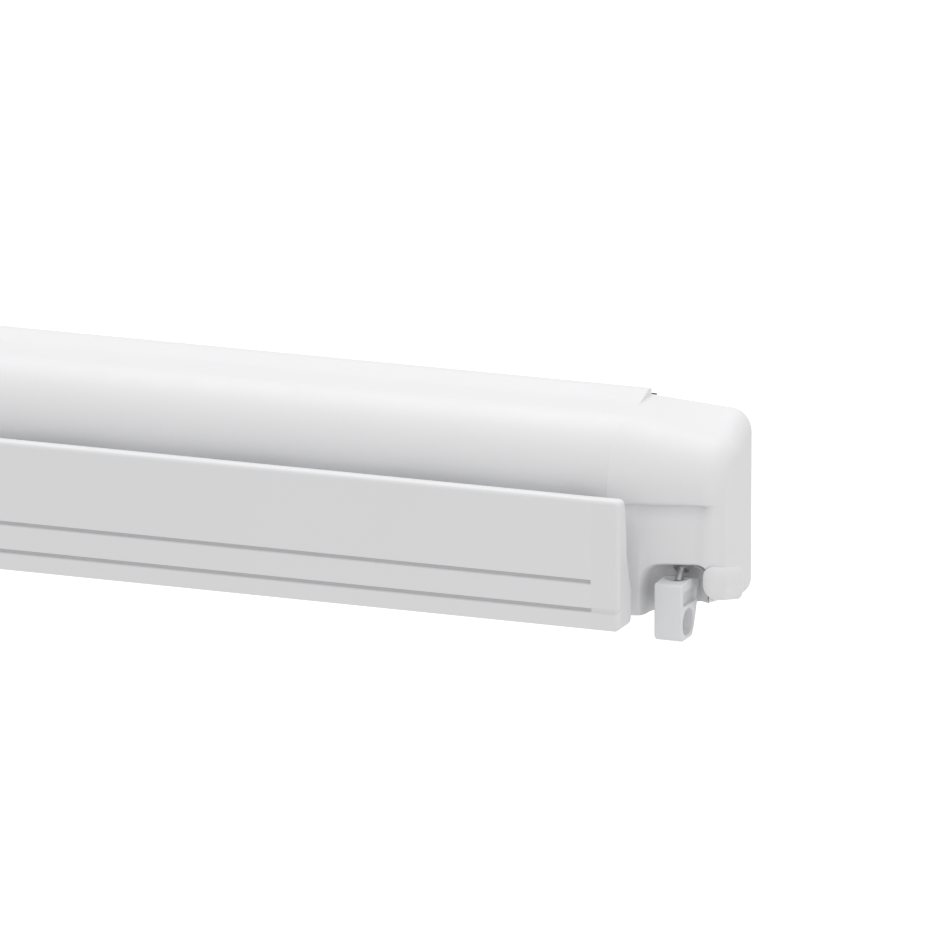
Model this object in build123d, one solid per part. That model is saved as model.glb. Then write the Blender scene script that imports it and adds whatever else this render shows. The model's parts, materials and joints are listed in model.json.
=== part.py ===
from build123d import *
from math import asin, atan2, cos, degrees, hypot, pi, radians, sin, sqrt, tan
import os

# Roll out awning for a caravan or camper, closed in its case, at real size in millimetres.
# X runs along the awning, -Y points out from the vehicle wall and +Z is up. The origin lies on
# the wall plane at mid length, behind the middle wall bracket.
# Sections are drawn as (depth, height): depth is measured rearwards from the lead bar's front
# face, and height upwards from the lead bar's lower edge.

# Overall sizes
awning_length = 2650.0
case_depth = 103.0
wall_standoff = 9.0
origin_height = 64.0

# Common walls and clearances
section_wall = 2.0
cap_wall = 2.5
gap = 0.3
fit = 0.05
overrun = 2.0
snap = 0.01

# Case section
floor_height = 3.0
floor_front = 24.0
floor_lip = 6.0
shoulder_back = 42.0
top_rise = 2.7
front_edge_depth = 28.0
front_edge_cover = 7.5
front_turn_deg = 88.0
rear_lip_rise = 4.0
rear_lip_width = 5.5
rear_lip_ramp = 5.0
screw_port_radius = 3.2
screw_port_bore = 1.6
screw_port_inset = 5.2
screw_port_drop = 9.0

# Case end caps
cap_length = 66.5
cap_shoulder_back = 19.5
cap_shoulder_drop = 13.8
cap_top_drop = 4.3
cap_front_back = 20.0
cap_floor_height = 1.5
cap_round = 12.0
cap_foot_rise = 10.0
cap_inner_round = 9.0
ledge_drop = 1.5
ledge_step = 2.6
recess_side = 10.0
pad_rise = 1.2
pad_height = 20.0
pad_middle_height = 20.6
pad_lean_deg = 12.0
pad_front_inset = 2.0
pad_reach = 7.0
pad_rear_inset = 17.0
pad_round = 8.0

# Winch mouth in the right end cap, and the eye that turns in it
eye_side = 27.5
eye_setback = 17.0
mouth_half_width = 18.9
mouth_height = 32.4
mouth_round = 9.0
pocket_radius = 19.4
pocket_wall = 2.0
eye_width = 18.0
eye_front = 16.0
eye_rear_top = 16.2
eye_rear_low = 3.0
eye_bottom = -11.2
eye_waist_height = -1.0
eye_waist_rear = 8.2
eye_top_front = 24.6
eye_top_rear = 22.4
eye_top_middle = 25.4
eye_edge_round = 1.6
eye_corner_round = 4.0
eye_hole_height = 16.0
eye_hole_width = 18.6
eye_hole_centre = -0.6
eye_pocket_depth = 2.6
eye_pocket_width = 22.6
eye_pocket_height = 9.0
eye_pocket_round = 2.0
eye_pocket_centre = 14.8
eye_pocket_ahead = 1.9
ball_height = 19.0
ball_radius = 4.8
socket_radius = 5.1
shaft_hole_gap = 1.0

# Roller and fabric
roller_rear_gap = 4.0
roller_arm_gap = 4.7
roller_top_gap = 10.4
roller_radius = 21.0
roller_wall = 1.6
roller_end_gap = 6.0
roller_slot_width = 3.0
roller_slot_depth = 5.0
fabric_length = 2150.0
fabric_thickness = 0.5
fabric_margin = 18.0
plug_length = 34.0
plug_flange_radius = 24.0
journal_radius = 8.0
gear_journal_radius = 6.0
bush_radius = 11.0
bush_flange_radius = 14.0
bush_flange = 2.0

# Winch gearing
gear_module = 2.0
wheel_teeth = 12
wheel_width = 8.0
worm_pitch_radius = 6.0
worm_core_radius = 4.0
worm_tip_radius = 7.5
worm_turns = 3
worm_thread_width = 1.7
wheel_tooth_top = 1.7
wheel_tooth_root = 2.6
wheel_tip_share = 0.8
neck_radius = 2.4
neck_length = 12.0
worm_shaft_radius = 5.0
worm_journal_radius = 3.5
worm_journal_length = 5.0
gearbox_radius = 18.0
gearbox_half_width = 10.5
gearbox_worm_half = 10.5
gearbox_bearing = 9.0
gearbox_cavity_gap = 0.6

# End plates and fasteners
plate_thickness = 5.0
plate_setback = 8.0
plate_foot_length = 18.0
plate_foot_thickness = 4.0
screw_radius = 2.0
screw_head_radius = 3.8
screw_head_height = 2.2
port_screw_head = 2.5
screw_length = 14.0

# Wall brackets, and the rail on the case that hangs on them
bracket_width = 80.0
bracket_plate = 3.4
bracket_arm = 2.5
bracket_inset = 308.5
bracket_foot_length = 24.0
bracket_foot = 2.6
bracket_hole_radius = 3.25
bracket_hole_spacing_x = 50.0
bracket_hole_spacing_z = 60.0
bracket_hole_low = 34.0
rail_drop = 9.1
rail_height = 10.0
rail_wall = 2.0
bolt_radius = 3.0
bolt_head_radius = 5.5
bolt_head_height = 3.5
nut_radius = 5.5
nut_height = 4.0
bolt_inset = 18.0
seal_drop = 1.6
seal_height = 5.0
seal_bore = 1.5
floor_seal_depth = 3.2

# Lead bar
lead_height = 81.5
lead_wall = 1.8
lead_top_depth = 9.2
lead_top_round = 3.0
lead_back_lip = 5.0
lead_box_depth = 12.0
lead_box_drop = 23.5
lead_channel_lip = 12.0
lead_foot_depth = 3.2
groove_low = 12.3
groove_high = 30.0
groove_width = 1.9
groove_depth = 1.3
groove_slope = 1.2
hem_depth = 6.4
hem_drop = 12.5
hem_radius = 2.2
hem_slot_radius = 2.6
hem_slot_wall = 1.6
hem_slot_mouth = 2.4
hem_thickness = 0.6
hem_reach = 43.0
lead_cap_length = 18.5
lead_cap_plug = 16.0
lead_cap_plug_depth = 8.0
lead_cap_web_gap = 5.4
lead_cap_round = 3.0

# Folding arms
arm_inset = 62.0
elbow_spacing = 133.4
arm_floor_gap = 5.0
shoulder_pivot_inset = 19.0
wrist_reach = 16.0
upper_width = 20.0
upper_height = 30.0
upper_offset = 5.5
fore_width = 18.0
fore_height = 27.0
arm_wall = 2.0
joint_reach = 30.0
joint_plug = 26.0
block_share = 0.7
knuckle_radius = 12.0
fork_radius = 12.0
tongue_radius = 11.2
tongue_height = 14.4
ear_height = 7.0
wrist_radius = 10.0
wrist_ear_height = 6.4
wrist_web = 4.0
shoulder_pin_radius = 6.0
elbow_pin_radius = 5.0
wrist_pin_radius = 4.0
shoulder_half_width = 22.0
shoulder_ear = 5.0
shoulder_plate = 3.7
pin_head = 2.0
pin_head_extra = 1.6
spring_radius = 5.5
spring_length = 420.0
spring_bore = 3.5
spring_eye_length = 18.0

# Support legs
leg_inset = 26.0
leg_bottom = 5.2
leg_roof_gap = 1.3
leg_spacing = 261.0
leg_width = 11.6
leg_section_height = 14.0
leg_wall = 1.2
clamp_wall = 1.4
leg_head_radius = 7.4
leg_head_length = 22.0
leg_head_plug = 24.0
leg_pin_radius = 3.0
leg_bracket_half = 12.0
inner_stop = 40.0
inner_gap = 0.4
inner_stick_out = 12.0
inner_wall = 1.1
clamp_length = 34.0
clamp_low = 3.6
clamp_high = 20.2
lever_length = 38.0
lever_width = 7.0
lever_thickness = 1.8
lever_pivot_radius = 1.5
lever_pivot_height = 2.3
lever_lug = 1.6
foot_tongue_width = 4.0
foot_tongue_length = 9.0
foot_tongue_height = 8.0
foot_pivot_radius = 2.0
foot_cheek = 3.4
foot_half_height = 4.6
foot_base = 3.0
foot_reach = 7.0

# Sizes that follow from the ones above: along the awning
case_half = awning_length / 2 - cap_length
cap_side = cap_length - pad_rise
recess_length = cap_length - recess_side
eye_inset = cap_length - eye_side
bracket_spacing = case_half - bracket_inset
shoulder_x = case_half - arm_inset
elbow_x = elbow_spacing / 2
leg_x = case_half - leg_inset
leg_end_x = leg_spacing / 2
leg_length = leg_x - leg_head_length - leg_end_x
inner_length = leg_length - inner_stop

# Depths
wall_depth = case_depth + wall_standoff
fabric_radius = sqrt(roller_radius**2 + fabric_length * fabric_thickness / pi)
shoulder_depth = case_depth - shoulder_back
roller_depth = case_depth - section_wall - roller_rear_gap - fabric_radius
shoulder_pivot_depth = case_depth - shoulder_pivot_inset
bolt_depth = case_depth - bolt_inset
rail_depth = case_depth + gap + bracket_arm + gap + rail_wall
eye_depth = front_edge_depth + eye_setback
plate_front = front_edge_depth + plate_setback
pad_front = front_edge_depth + pad_front_inset
pad_rear = case_depth - pad_rear_inset
lead_channel_depth = lead_foot_depth + gap + clamp_wall + leg_width + clamp_wall + gap + lead_wall
leg_middle_depth = (lead_foot_depth + lead_channel_depth - lead_wall) / 2
wrist_web_depth = lead_channel_depth + wrist_web
wrist_pivot_depth = wrist_web_depth + wrist_reach
arm_middle_depth = (shoulder_pivot_depth + wrist_pivot_depth) / 2

# Heights
arm_middle_height = floor_height + floor_lip + arm_floor_gap + upper_height / 2
arm_top_height = arm_middle_height + upper_height / 2 + gap + shoulder_ear
roller_height = arm_top_height + roller_arm_gap + fabric_radius
shoulder_height = roller_height + fabric_radius + roller_top_gap
top_rear_height = shoulder_height + top_rise
front_edge_height = lead_height - front_edge_cover
ledge_height = front_edge_height - ledge_drop
rail_top = top_rear_height - rail_drop
rail_bottom = rail_top - rail_height
bracket_top = rail_top - rail_wall - gap
bracket_shelf_height = rail_bottom - gap - bracket_arm
seal_high = top_rear_height - seal_drop
seal_low = seal_high - seal_height
leg_height = leg_bottom + leg_section_height / 2
lead_box_low = leg_bottom + leg_section_height + leg_roof_gap
lead_box_high = lead_height - lead_box_drop
hem_height = lead_height - hem_drop

# Winch gearing
wheel_radius = gear_module * wheel_teeth / 2
worm_lead = pi * gear_module
gear_distance = wheel_radius + worm_pitch_radius


def yz(depth, height):
    """A point of a section, as frame Y and Z."""
    return (depth - wall_depth, height - origin_height)


def outline(points):
    """A face in the section plane from (depth, height) corners."""
    corners = [yz(*point) for point in points]
    return make_face(Polyline(*corners, close=True))


def panel(depth_0, depth_1, height_0, height_1):
    """A rectangle in the section plane."""
    return outline([(depth_0, height_0), (depth_1, height_0), (depth_1, height_1), (depth_0, height_1)])


def disc(depth, height, radius):
    """A round in the section plane."""
    return Pos(*yz(depth, height)) * Circle(radius)


def run(section, x_0, x_1):
    """A section drawn out along the awning."""
    return extrude(Plane.YZ.offset(x_0) * section, amount=x_1 - x_0)


def brick(x_0, x_1, depth_0, depth_1, height_0, height_1):
    """A plain block between two corners."""
    return run(panel(depth_0, depth_1, height_0, height_1), x_0, x_1)


def rod_x(depth, height, radius, x_0, x_1):
    """A round bar along the awning."""
    return run(disc(depth, height, radius), x_0, x_1)


def rod_y(x, height, radius, depth_0, depth_1):
    """A round bar from front to rear."""
    y_0, z = yz(depth_0, height)
    bar = Plane(origin=(x, y_0, z), z_dir=(0, 1, 0)) * Circle(radius)
    return extrude(bar, amount=depth_1 - depth_0)


def rod_z(x, depth, radius, height_0, height_1):
    """An upright round bar."""
    y, z_0 = yz(depth, height_0)
    return extrude(Pos(x, y, z_0) * Circle(radius), amount=height_1 - height_0)


def tube_section(depth, height, width, tall, wall):
    """A rectangular tube's section about its middle."""
    outer = Pos(*yz(depth, height)) * RectangleRounded(width, tall, wall)
    inner = Pos(*yz(depth, height)) * Rectangle(width - wall * 2, tall - wall * 2)
    return outer - inner


def mirrored(solid):
    """The same piece for the other end of the awning."""
    return mirror(solid, about=Plane.YZ)


# Case and its end caps


def hull_section(share=0.0):
    """The case's closed outline. The share says how far along the end cap it lies, from 0 to 1."""
    top_rear = (case_depth, top_rear_height - cap_top_drop * share)
    shoulder = (shoulder_depth + cap_shoulder_back * share, shoulder_height - cap_shoulder_drop * share)
    front = (front_edge_depth + cap_front_back * share, front_edge_height)
    base = cap_floor_height if share else floor_height
    front_foot = (front[0], base)
    rear_foot = (case_depth, base)
    across = front[0] - shoulder[0]
    along = front[1] - shoulder[1]
    sag_share = tan(radians(front_turn_deg) / 4) / 2
    middle = (
        (front[0] + shoulder[0]) / 2 + along * sag_share,
        (front[1] + shoulder[1]) / 2 - across * sag_share,
    )
    edges = [
        Line(yz(*rear_foot), yz(*top_rear)),
        Line(yz(*top_rear), yz(*shoulder)),
        ThreePointArc(yz(*shoulder), yz(*middle), yz(*front)),
        Line(yz(*front), yz(*front_foot)),
        Line(yz(*front_foot), yz(*rear_foot)),
    ]
    return make_face(edges)


def inset(section, amount):
    return offset(section, amount=-amount, kind=Kind.INTERSECTION)


def case_section():
    """The extrusion: a thin hull open at the front, with floor lip, rear lip, screw ports and rail."""
    hull = hull_section()
    inner = inset(hull, section_wall)
    shell = hull - inner
    mouth = panel(
        front_edge_depth - overrun,
        front_edge_depth + section_wall + snap,
        floor_height + section_wall,
        front_edge_height,
    )
    shell -= mouth
    shell += panel(floor_front, front_edge_depth + section_wall, floor_height, floor_height + section_wall)
    shell += panel(floor_front, floor_front + section_wall, floor_height, floor_height + floor_lip)
    lip_front = case_depth - rear_lip_width
    lip = outline(
        [
            (lip_front - rear_lip_ramp, top_rear_height - section_wall),
            (lip_front - rear_lip_ramp, top_rear_height - section_wall / 4),
            (lip_front, top_rear_height + rear_lip_rise),
            (case_depth, top_rear_height + rear_lip_rise),
            (case_depth, top_rear_height - section_wall),
        ]
    )
    shell += lip
    half_web = section_wall / 2
    for depth, height, wall in port_places():
        low, high = sorted((height, wall))
        shell += disc(depth, height, screw_port_radius)
        shell += panel(depth, case_depth - half_web, height - half_web, height + half_web)
        shell += panel(depth - half_web, depth + half_web, low, high)
        shell -= disc(depth, height, screw_port_bore)
    shell += panel(case_depth - snap, rail_depth, rail_top - rail_wall, rail_top)
    shell += panel(rail_depth - rail_wall, rail_depth, rail_bottom, rail_top)
    return shell


def port_places():
    """Depth and height of each screw port, with the height of the wall it hangs on."""
    depth = case_depth - screw_port_inset
    upper = (depth, top_rear_height - screw_port_drop, top_rear_height - section_wall / 2)
    lower = (depth, floor_height + screw_port_inset, floor_height + section_wall / 2)
    return [upper, lower]


def bracket_places():
    return (-bracket_spacing, 0.0, bracket_spacing)


def case_shell():
    shell = run(case_section(), -case_half, case_half)
    low = floor_height - overrun
    high = floor_height + section_wall + overrun
    for x in bracket_places():
        shell -= rod_z(x, bolt_depth, bolt_radius + gap, low, high)
    return shell


def end_faces(x_near, x_far, shrink=0.0):
    """The near and far sections of an end cap."""
    near = hull_section(snap / cap_length)
    far = hull_section(1.0)
    if shrink:
        near = inset(near, shrink)
        far = inset(far, shrink)
    return [Plane.YZ.offset(x_near) * near, Plane.YZ.offset(x_far) * far]


def cap_block(side, radius, shrink=0.0):
    """The end cap's full form, rounded towards its side."""
    far = case_half + side - shrink
    body = loft(end_faces(case_half, far, shrink), ruled=True)
    soft = [
        edge
        for edge in body.edges()
        if abs(edge.center().X - far) < snap and edge.center().Y < yz(case_depth - shrink, 0)[0] - snap
    ]
    return fillet(soft, radius)


def cap_pad():
    """The pad round the cap's lower corner, seen from above as the corner moved outwards."""
    x_side = case_half + cap_side
    y_front, z_low = yz(front_edge_depth, cap_floor_height)
    y_corner = yz(front_edge_depth + cap_front_back, 0)[0]
    y_rear = yz(case_depth, 0)[0]
    corners = [(case_half, y_front), (x_side, y_corner), (x_side, y_rear), (case_half, y_rear)]
    plan = make_face(Polyline(*corners, close=True))
    corner = plan.vertices().group_by(Axis.X)[-1].sort_by(Axis.Y)[0]
    plan = offset(fillet(corner, cap_round), amount=pad_rise)
    solid = extrude(Pos(0, 0, z_low) * plan, amount=pad_middle_height + pad_height)
    middle = Pos(*yz((pad_front + pad_rear) / 2, pad_middle_height)) * Rot(0, 0, -pad_lean_deg)
    band = middle * RectangleRounded(pad_rear - pad_front, pad_height, pad_round)
    x_end = case_half + cap_length
    return solid & run(band, x_end - pad_reach, x_end)


def foot_wedge(wall=0.0):
    """What the right cap's bottom lacks beyond the mouth, where it rises towards the front."""
    low = cap_floor_height - overrun
    front = front_edge_depth + ledge_step
    section = outline(
        [
            (front, low),
            (front, cap_floor_height + cap_foot_rise + wall),
            (front_edge_depth + cap_front_back, cap_floor_height + cap_foot_rise + wall),
            (case_depth, cap_floor_height + wall),
            (case_depth, low),
        ]
    )
    return run(section, case_half + eye_inset, case_half + cap_length + overrun)


def end_cap():
    """The plastic cap: hollow, with a ledge over a recessed lower face and a pad low on its side."""
    outer = cap_block(cap_side, cap_round)
    front_near = front_edge_depth
    front_far = front_edge_depth + cap_front_back * recess_length / cap_side
    recess_low = cap_floor_height - overrun
    recess = loft(
        [
            Plane.YZ.offset(case_half - snap)
            * panel(front_near - overrun, front_near + ledge_step, recess_low, ledge_height),
            Plane.YZ.offset(case_half + recess_length)
            * panel(front_far - overrun, front_far + ledge_step, recess_low, ledge_height),
        ],
        ruled=True,
    )
    outer = outer + cap_pad() - recess
    inner = cap_block(cap_side, cap_inner_round, cap_wall)
    thick = ledge_step + cap_wall
    keep = loft(
        [
            Plane.YZ.offset(case_half - snap)
            * panel(front_near - overrun, front_near + thick, recess_low, ledge_height + cap_wall),
            Plane.YZ.offset(case_half + recess_length + cap_wall)
            * panel(front_far - overrun, front_far + thick, recess_low, ledge_height + cap_wall),
        ],
        ruled=True,
    )
    return outer - (inner - keep)


def winch_mouth():
    """What the arch-shaped mouth and the round well behind it take out of the right cap."""
    x = case_half + eye_inset
    low = cap_floor_height - overrun
    arch = Rectangle(mouth_half_width * 2, mouth_height - low)
    arch = fillet(arch.vertices().group_by(Axis.Y)[-1], mouth_round)
    y, z = yz(0, (mouth_height + low) / 2)
    y_eye = yz(eye_depth, 0)[0]
    front = Plane(origin=(x, y_eye, z), x_dir=(1, 0, 0), z_dir=(0, -1, 0)) * arch
    slot = extrude(front, amount=eye_depth)
    well = extrude(front, amount=-pocket_radius) & rod_z(x, eye_depth, pocket_radius, low, mouth_height)
    return slot + well


def winch_well():
    """The round wall and ceiling that close the well off from the inside of the right cap."""
    x = case_half + eye_inset
    radius = pocket_radius + pocket_wall
    return rod_z(x, eye_depth, radius, cap_floor_height, mouth_height + pocket_wall)


def cap_with_winch():
    inside = cap_block(cap_side, cap_round)
    cap = end_cap() + (winch_well() & inside) + (foot_wedge(cap_wall) & inside)
    cap = cap - foot_wedge() - winch_mouth()
    return cap - shaft_rod(worm_shaft_radius + shaft_hole_gap, neck_length / 2, shaft_mesh())


def plate_foot_rear():
    """The end plate's foot stops short of the lower port screw's head."""
    return case_depth - screw_port_inset - port_screw_head - gap


def end_cap_screw_places():
    x = case_half + plate_thickness + plate_foot_length / 2
    return [(x, roller_depth), (x, plate_foot_rear() - screw_head_radius - overrun)]


def cap_with_screw_holes(cap):
    low = cap_floor_height - overrun
    high = cap_floor_height + cap_wall + overrun
    for x, depth in end_cap_screw_places():
        cap -= rod_z(x, depth, screw_radius, low, high)
    return cap


def end_plate():
    """The cast plate that closes the case's end, carries the roller and holds the cap."""
    x_0 = case_half + plate_thickness
    foot_low = cap_floor_height + cap_wall
    plate = brick(case_half, x_0, plate_front, case_depth, foot_low, top_rear_height)
    plate = plate & cap_block(cap_side, cap_inner_round, cap_wall + gap)
    foot = brick(
        case_half,
        x_0 + plate_foot_length,
        eye_depth,
        plate_foot_rear(),
        foot_low,
        foot_low + plate_foot_thickness,
    )
    well = pocket_radius + pocket_wall + gap
    plate += foot - rod_z(case_half + eye_inset, eye_depth, well, cap_floor_height, origin_height)
    plate -= rod_x(roller_depth, roller_height, bush_radius, case_half - overrun, x_0 + overrun)
    for depth, height, _ in port_places():
        plate -= rod_x(depth, height, screw_port_bore, case_half - overrun, x_0 + overrun)
    for x, depth in end_cap_screw_places():
        plate -= rod_z(x, depth, screw_radius, foot_low - overrun, foot_low + plate_foot_thickness + overrun)
    return plate


def end_screws():
    """Screws of one end: plate to case, and cap to plate from below."""
    screws = []
    face = case_half + plate_thickness
    for depth, height, _ in port_places():
        shank = rod_x(depth, height, screw_port_bore, face - screw_length, face)
        head = rod_x(depth, height, port_screw_head, face, face + screw_head_height)
        screws.append(shank + head)
    for x, depth in end_cap_screw_places():
        low = cap_floor_height
        shank = rod_z(x, depth, screw_radius, low, low + cap_wall + plate_foot_thickness)
        head = rod_z(x, depth, screw_head_radius, low - screw_head_height / 2, low)
        screws.append(shank + head)
    return screws


# Wall brackets, seals


def wall_bracket(x):
    """An extruded plate with a hook for the case's rail and a foot under the case."""
    plate_face = wall_depth - bracket_plate
    arm_front = case_depth + gap
    section = panel(plate_face, wall_depth, floor_height - bracket_foot - gap, bracket_top)
    shelf_top = bracket_shelf_height + bracket_arm
    section += panel(arm_front, wall_depth, bracket_shelf_height, shelf_top)
    section += panel(arm_front, arm_front + bracket_arm, bracket_shelf_height, bracket_top)
    section += panel(
        bolt_depth - bracket_foot_length / 2, wall_depth, floor_height - bracket_foot, floor_height
    )
    half = bracket_width / 2
    bracket = run(section, x - half, x + half)
    for side_x in (-1, 1):
        for side_z in (-1, 1):
            height = bracket_hole_low + bracket_hole_spacing_z * (1 + side_z) / 2
            bracket -= rod_y(
                x + side_x * bracket_hole_spacing_x / 2,
                height,
                bracket_hole_radius,
                case_depth - overrun,
                wall_depth + overrun,
            )
    foot_low = floor_height - bracket_foot
    return bracket - rod_z(x, bolt_depth, bolt_radius, foot_low - overrun, floor_height + overrun)


def bracket_bolt(x):
    """A bolt from below through bracket foot and case floor, and its nut."""
    under = floor_height - bracket_foot
    inside = floor_height + section_wall
    shank = rod_z(x, bolt_depth, bolt_radius, under, inside + nut_height + overrun)
    y, z = yz(bolt_depth, under - bolt_head_height)
    head = extrude(Pos(x, y, z) * RegularPolygon(bolt_head_radius, 6), amount=bolt_head_height)
    y, z = yz(bolt_depth, inside)
    nut = extrude(Pos(x, y, z) * RegularPolygon(nut_radius, 6), amount=nut_height)
    return shank + head + nut


def wall_seal():
    """The rubber strip between the case's rear and the vehicle wall."""
    section = panel(case_depth, wall_depth, seal_low, seal_high)
    middle = (case_depth + wall_depth) / 2
    section -= disc(middle, (seal_low + seal_high) / 2, seal_bore)
    return run(section, -case_half, case_half)


def floor_seal():
    """The rubber strip in front of the floor lip, against the back of the lead bar."""
    section = panel(floor_front - floor_seal_depth, floor_front, floor_height, floor_height + floor_lip)
    return run(section, -case_half, case_half)


# Roller, fabric and winch


def roller_tube():
    half = case_half - roller_end_gap
    section = disc(roller_depth, roller_height, roller_radius)
    section -= disc(roller_depth, roller_height, roller_radius - roller_wall)
    top = roller_height + roller_radius
    slot = panel(
        roller_depth - roller_slot_width,
        roller_depth + roller_slot_width,
        top - roller_slot_depth,
        top - roller_wall / 2,
    )
    hollow = panel(
        roller_depth - roller_slot_width + roller_wall,
        roller_depth + roller_slot_width - roller_wall,
        top - roller_slot_depth + roller_wall,
        top - roller_wall,
    )
    return run(section + slot - hollow, -half, half)


def fabric_roll():
    """The wound fabric, as one sleeve of its full thickness."""
    half = case_half - roller_end_gap - fabric_margin
    section = disc(roller_depth, roller_height, fabric_radius)
    section -= disc(roller_depth, roller_height, roller_radius)
    return run(section, -half, half)


def roller_plug(journal_end):
    """A plug in the roller's right end with its journal."""
    end = case_half - roller_end_gap
    flange_end = case_half - bush_flange - gap
    plug = rod_x(roller_depth, roller_height, roller_radius - roller_wall, end - plug_length, end)
    top = roller_height + roller_radius
    plug -= brick(
        end - plug_length - overrun,
        end,
        roller_depth - roller_slot_width,
        roller_depth + roller_slot_width,
        top - roller_slot_depth,
        top,
    )
    plug += rod_x(roller_depth, roller_height, plug_flange_radius, end, flange_end)
    return plug + rod_x(roller_depth, roller_height, journal_radius, flange_end, journal_end)


def roller_bush():
    """A flanged bush in the end plate."""
    inner = case_half - bush_flange
    outer = case_half + plate_thickness
    bush = rod_x(roller_depth, roller_height, bush_flange_radius, inner, case_half)
    bush += rod_x(roller_depth, roller_height, bush_radius, case_half, outer)
    return bush - rod_x(roller_depth, roller_height, journal_radius + fit, inner - overrun, outer + overrun)


def drive_plug():
    """The right plug: its journal goes on, thinner, to carry the worm wheel."""
    shoulder = case_half + plate_thickness + roller_end_gap
    end = case_half + eye_inset + wheel_width / 2
    plug = roller_plug(shoulder)
    return plug + rod_x(roller_depth, roller_height, gear_journal_radius, shoulder, end)


def worm_wheel():
    """A spur-cut wheel with a tooth pointing at the worm."""
    x_0 = case_half + eye_inset - wheel_width / 2
    root = wheel_radius - gear_module
    wheel = rod_x(roller_depth, roller_height, root, x_0, x_0 + wheel_width)
    lean = shaft_lean()
    y, z = yz(roller_depth, roller_height)
    tip = wheel_radius + gear_module * wheel_tip_share
    tooth = Polyline(
        (root - gear_module / 2, -wheel_tooth_root / 2),
        (tip, -wheel_tooth_top / 2),
        (tip, wheel_tooth_top / 2),
        (root - gear_module / 2, wheel_tooth_root / 2),
        close=True,
    )
    for number in range(wheel_teeth):
        turn = Rot(0, 0, -degrees(lean) + number * 360 / wheel_teeth)
        tooth_face = Plane.YZ.offset(x_0) * (Pos(y, z) * (turn * make_face(tooth)))
        wheel += extrude(tooth_face, amount=wheel_width)
    x_1 = x_0 + wheel_width + overrun
    return wheel - rod_x(roller_depth, roller_height, gear_journal_radius, x_0 - overrun, x_1)


def shaft_lean():
    """How far the worm shaft leans back from upright, so that it passes the wheel at its gear distance."""
    back = roller_depth - eye_depth
    up = roller_height - ball_height
    return atan2(back, up) + asin(gear_distance / hypot(back, up))


def shaft_mesh():
    """Distance along the worm shaft from the ball's centre to where it meets the wheel."""
    back = roller_depth - eye_depth
    up = roller_height - ball_height
    return sqrt(back**2 + up**2 - gear_distance**2)


def shaft_plane(along=0.0):
    """A plane across the worm shaft, with its local X towards the wheel."""
    lean = shaft_lean()
    y, z = yz(eye_depth, ball_height)
    direction = Vector(0, sin(lean), cos(lean))
    origin = Vector(case_half + eye_inset, y, z) + direction * along
    return Plane(origin=origin, x_dir=(0, -cos(lean), sin(lean)), z_dir=direction)


def shaft_rod(radius, start, end):
    return extrude(shaft_plane(start) * Circle(radius), amount=end - start)


def worm_thread(length):
    """One trapezoid thread, wound round the core by the wheel's pitch."""
    path = Helix(pitch=worm_lead, height=length, radius=worm_core_radius)
    half_root = worm_thread_width / 2 + gap
    half_tip = worm_thread_width / 2 - gap
    reach = worm_tip_radius - worm_core_radius
    section = Polyline(
        (-gap, -half_root),
        (reach, -half_tip),
        (reach, half_tip),
        (-gap, half_root),
        close=True,
    )
    start = Plane(origin=path @ 0, x_dir=(1, 0, 0), z_dir=path % 0)
    return sweep(start * make_face(section), path=path, is_frenet=True)


def worm_shaft():
    """Ball, neck, shaft and worm in one piece, leaning back from the eye to the wheel."""
    half = worm_lead * worm_turns / 2
    mesh = shaft_mesh()
    core = shaft_rod(worm_core_radius, mesh - half - overrun, mesh + half + overrun)
    thread = shaft_plane(mesh - half) * worm_thread(half * 2)
    shaft = core + thread
    shaft += shaft_rod(neck_radius, 0, neck_length)
    shaft += shaft_rod(worm_shaft_radius, neck_length, mesh - half - overrun)
    top = mesh + half + overrun
    shaft += shaft_rod(worm_journal_radius, top, top + worm_journal_length)
    y, z = yz(eye_depth, ball_height)
    return shaft + Pos(case_half + eye_inset, y, z) * Sphere(ball_radius)


def gearbox_block():
    """Both halves of the gearbox as one block with its cavities."""
    x = case_half + eye_inset
    half = worm_lead * worm_turns / 2 + overrun
    mesh = shaft_mesh()
    low = mesh - half - gearbox_bearing
    high = mesh + half + worm_journal_length
    block = rod_x(roller_depth, roller_height, gearbox_radius, x - gearbox_half_width, x + gearbox_half_width)
    arm = shaft_plane(low) * Rectangle(gearbox_worm_half * 2, gearbox_half_width * 2)
    block += extrude(arm, amount=high - low)
    limit = cap_block(cap_side, cap_inner_round, cap_wall + gap)
    block = block & limit
    tip = wheel_radius + gear_module + gearbox_cavity_gap
    pocket_half = wheel_width / 2 + gearbox_cavity_gap
    block -= rod_x(roller_depth, roller_height, tip, x - pocket_half, x + pocket_half)
    block -= shaft_rod(worm_tip_radius + gearbox_cavity_gap, mesh - half - gap, mesh + half + gap)
    block -= shaft_rod(worm_shaft_radius + fit, low - overrun, mesh - half)
    block -= shaft_rod(worm_journal_radius + fit, mesh + half, high + overrun)
    bore = gear_journal_radius + gap
    return block - rod_x(roller_depth, roller_height, bore, x - gearbox_half_width - overrun, x + pocket_half)


def gearbox_half(side):
    """The housing is the inboard half, the cover the outboard one."""
    x = case_half + eye_inset
    reach = gearbox_half_width + overrun
    x_0, x_1 = sorted((x, x + side * reach))
    half = gearbox_block() & brick(x_0, x_1, 0, wall_depth, 0, origin_height * 2)
    if side > 0:
        return half
    stand_front = roller_depth - gearbox_radius / 2
    stand_rear = roller_depth + gearbox_radius / 2
    stand = brick(
        case_half + plate_thickness,
        x - gearbox_half_width + gap,
        stand_front,
        stand_rear,
        roller_height + journal_radius + overrun,
        roller_height + gearbox_radius - overrun,
    )
    return half + stand


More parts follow.
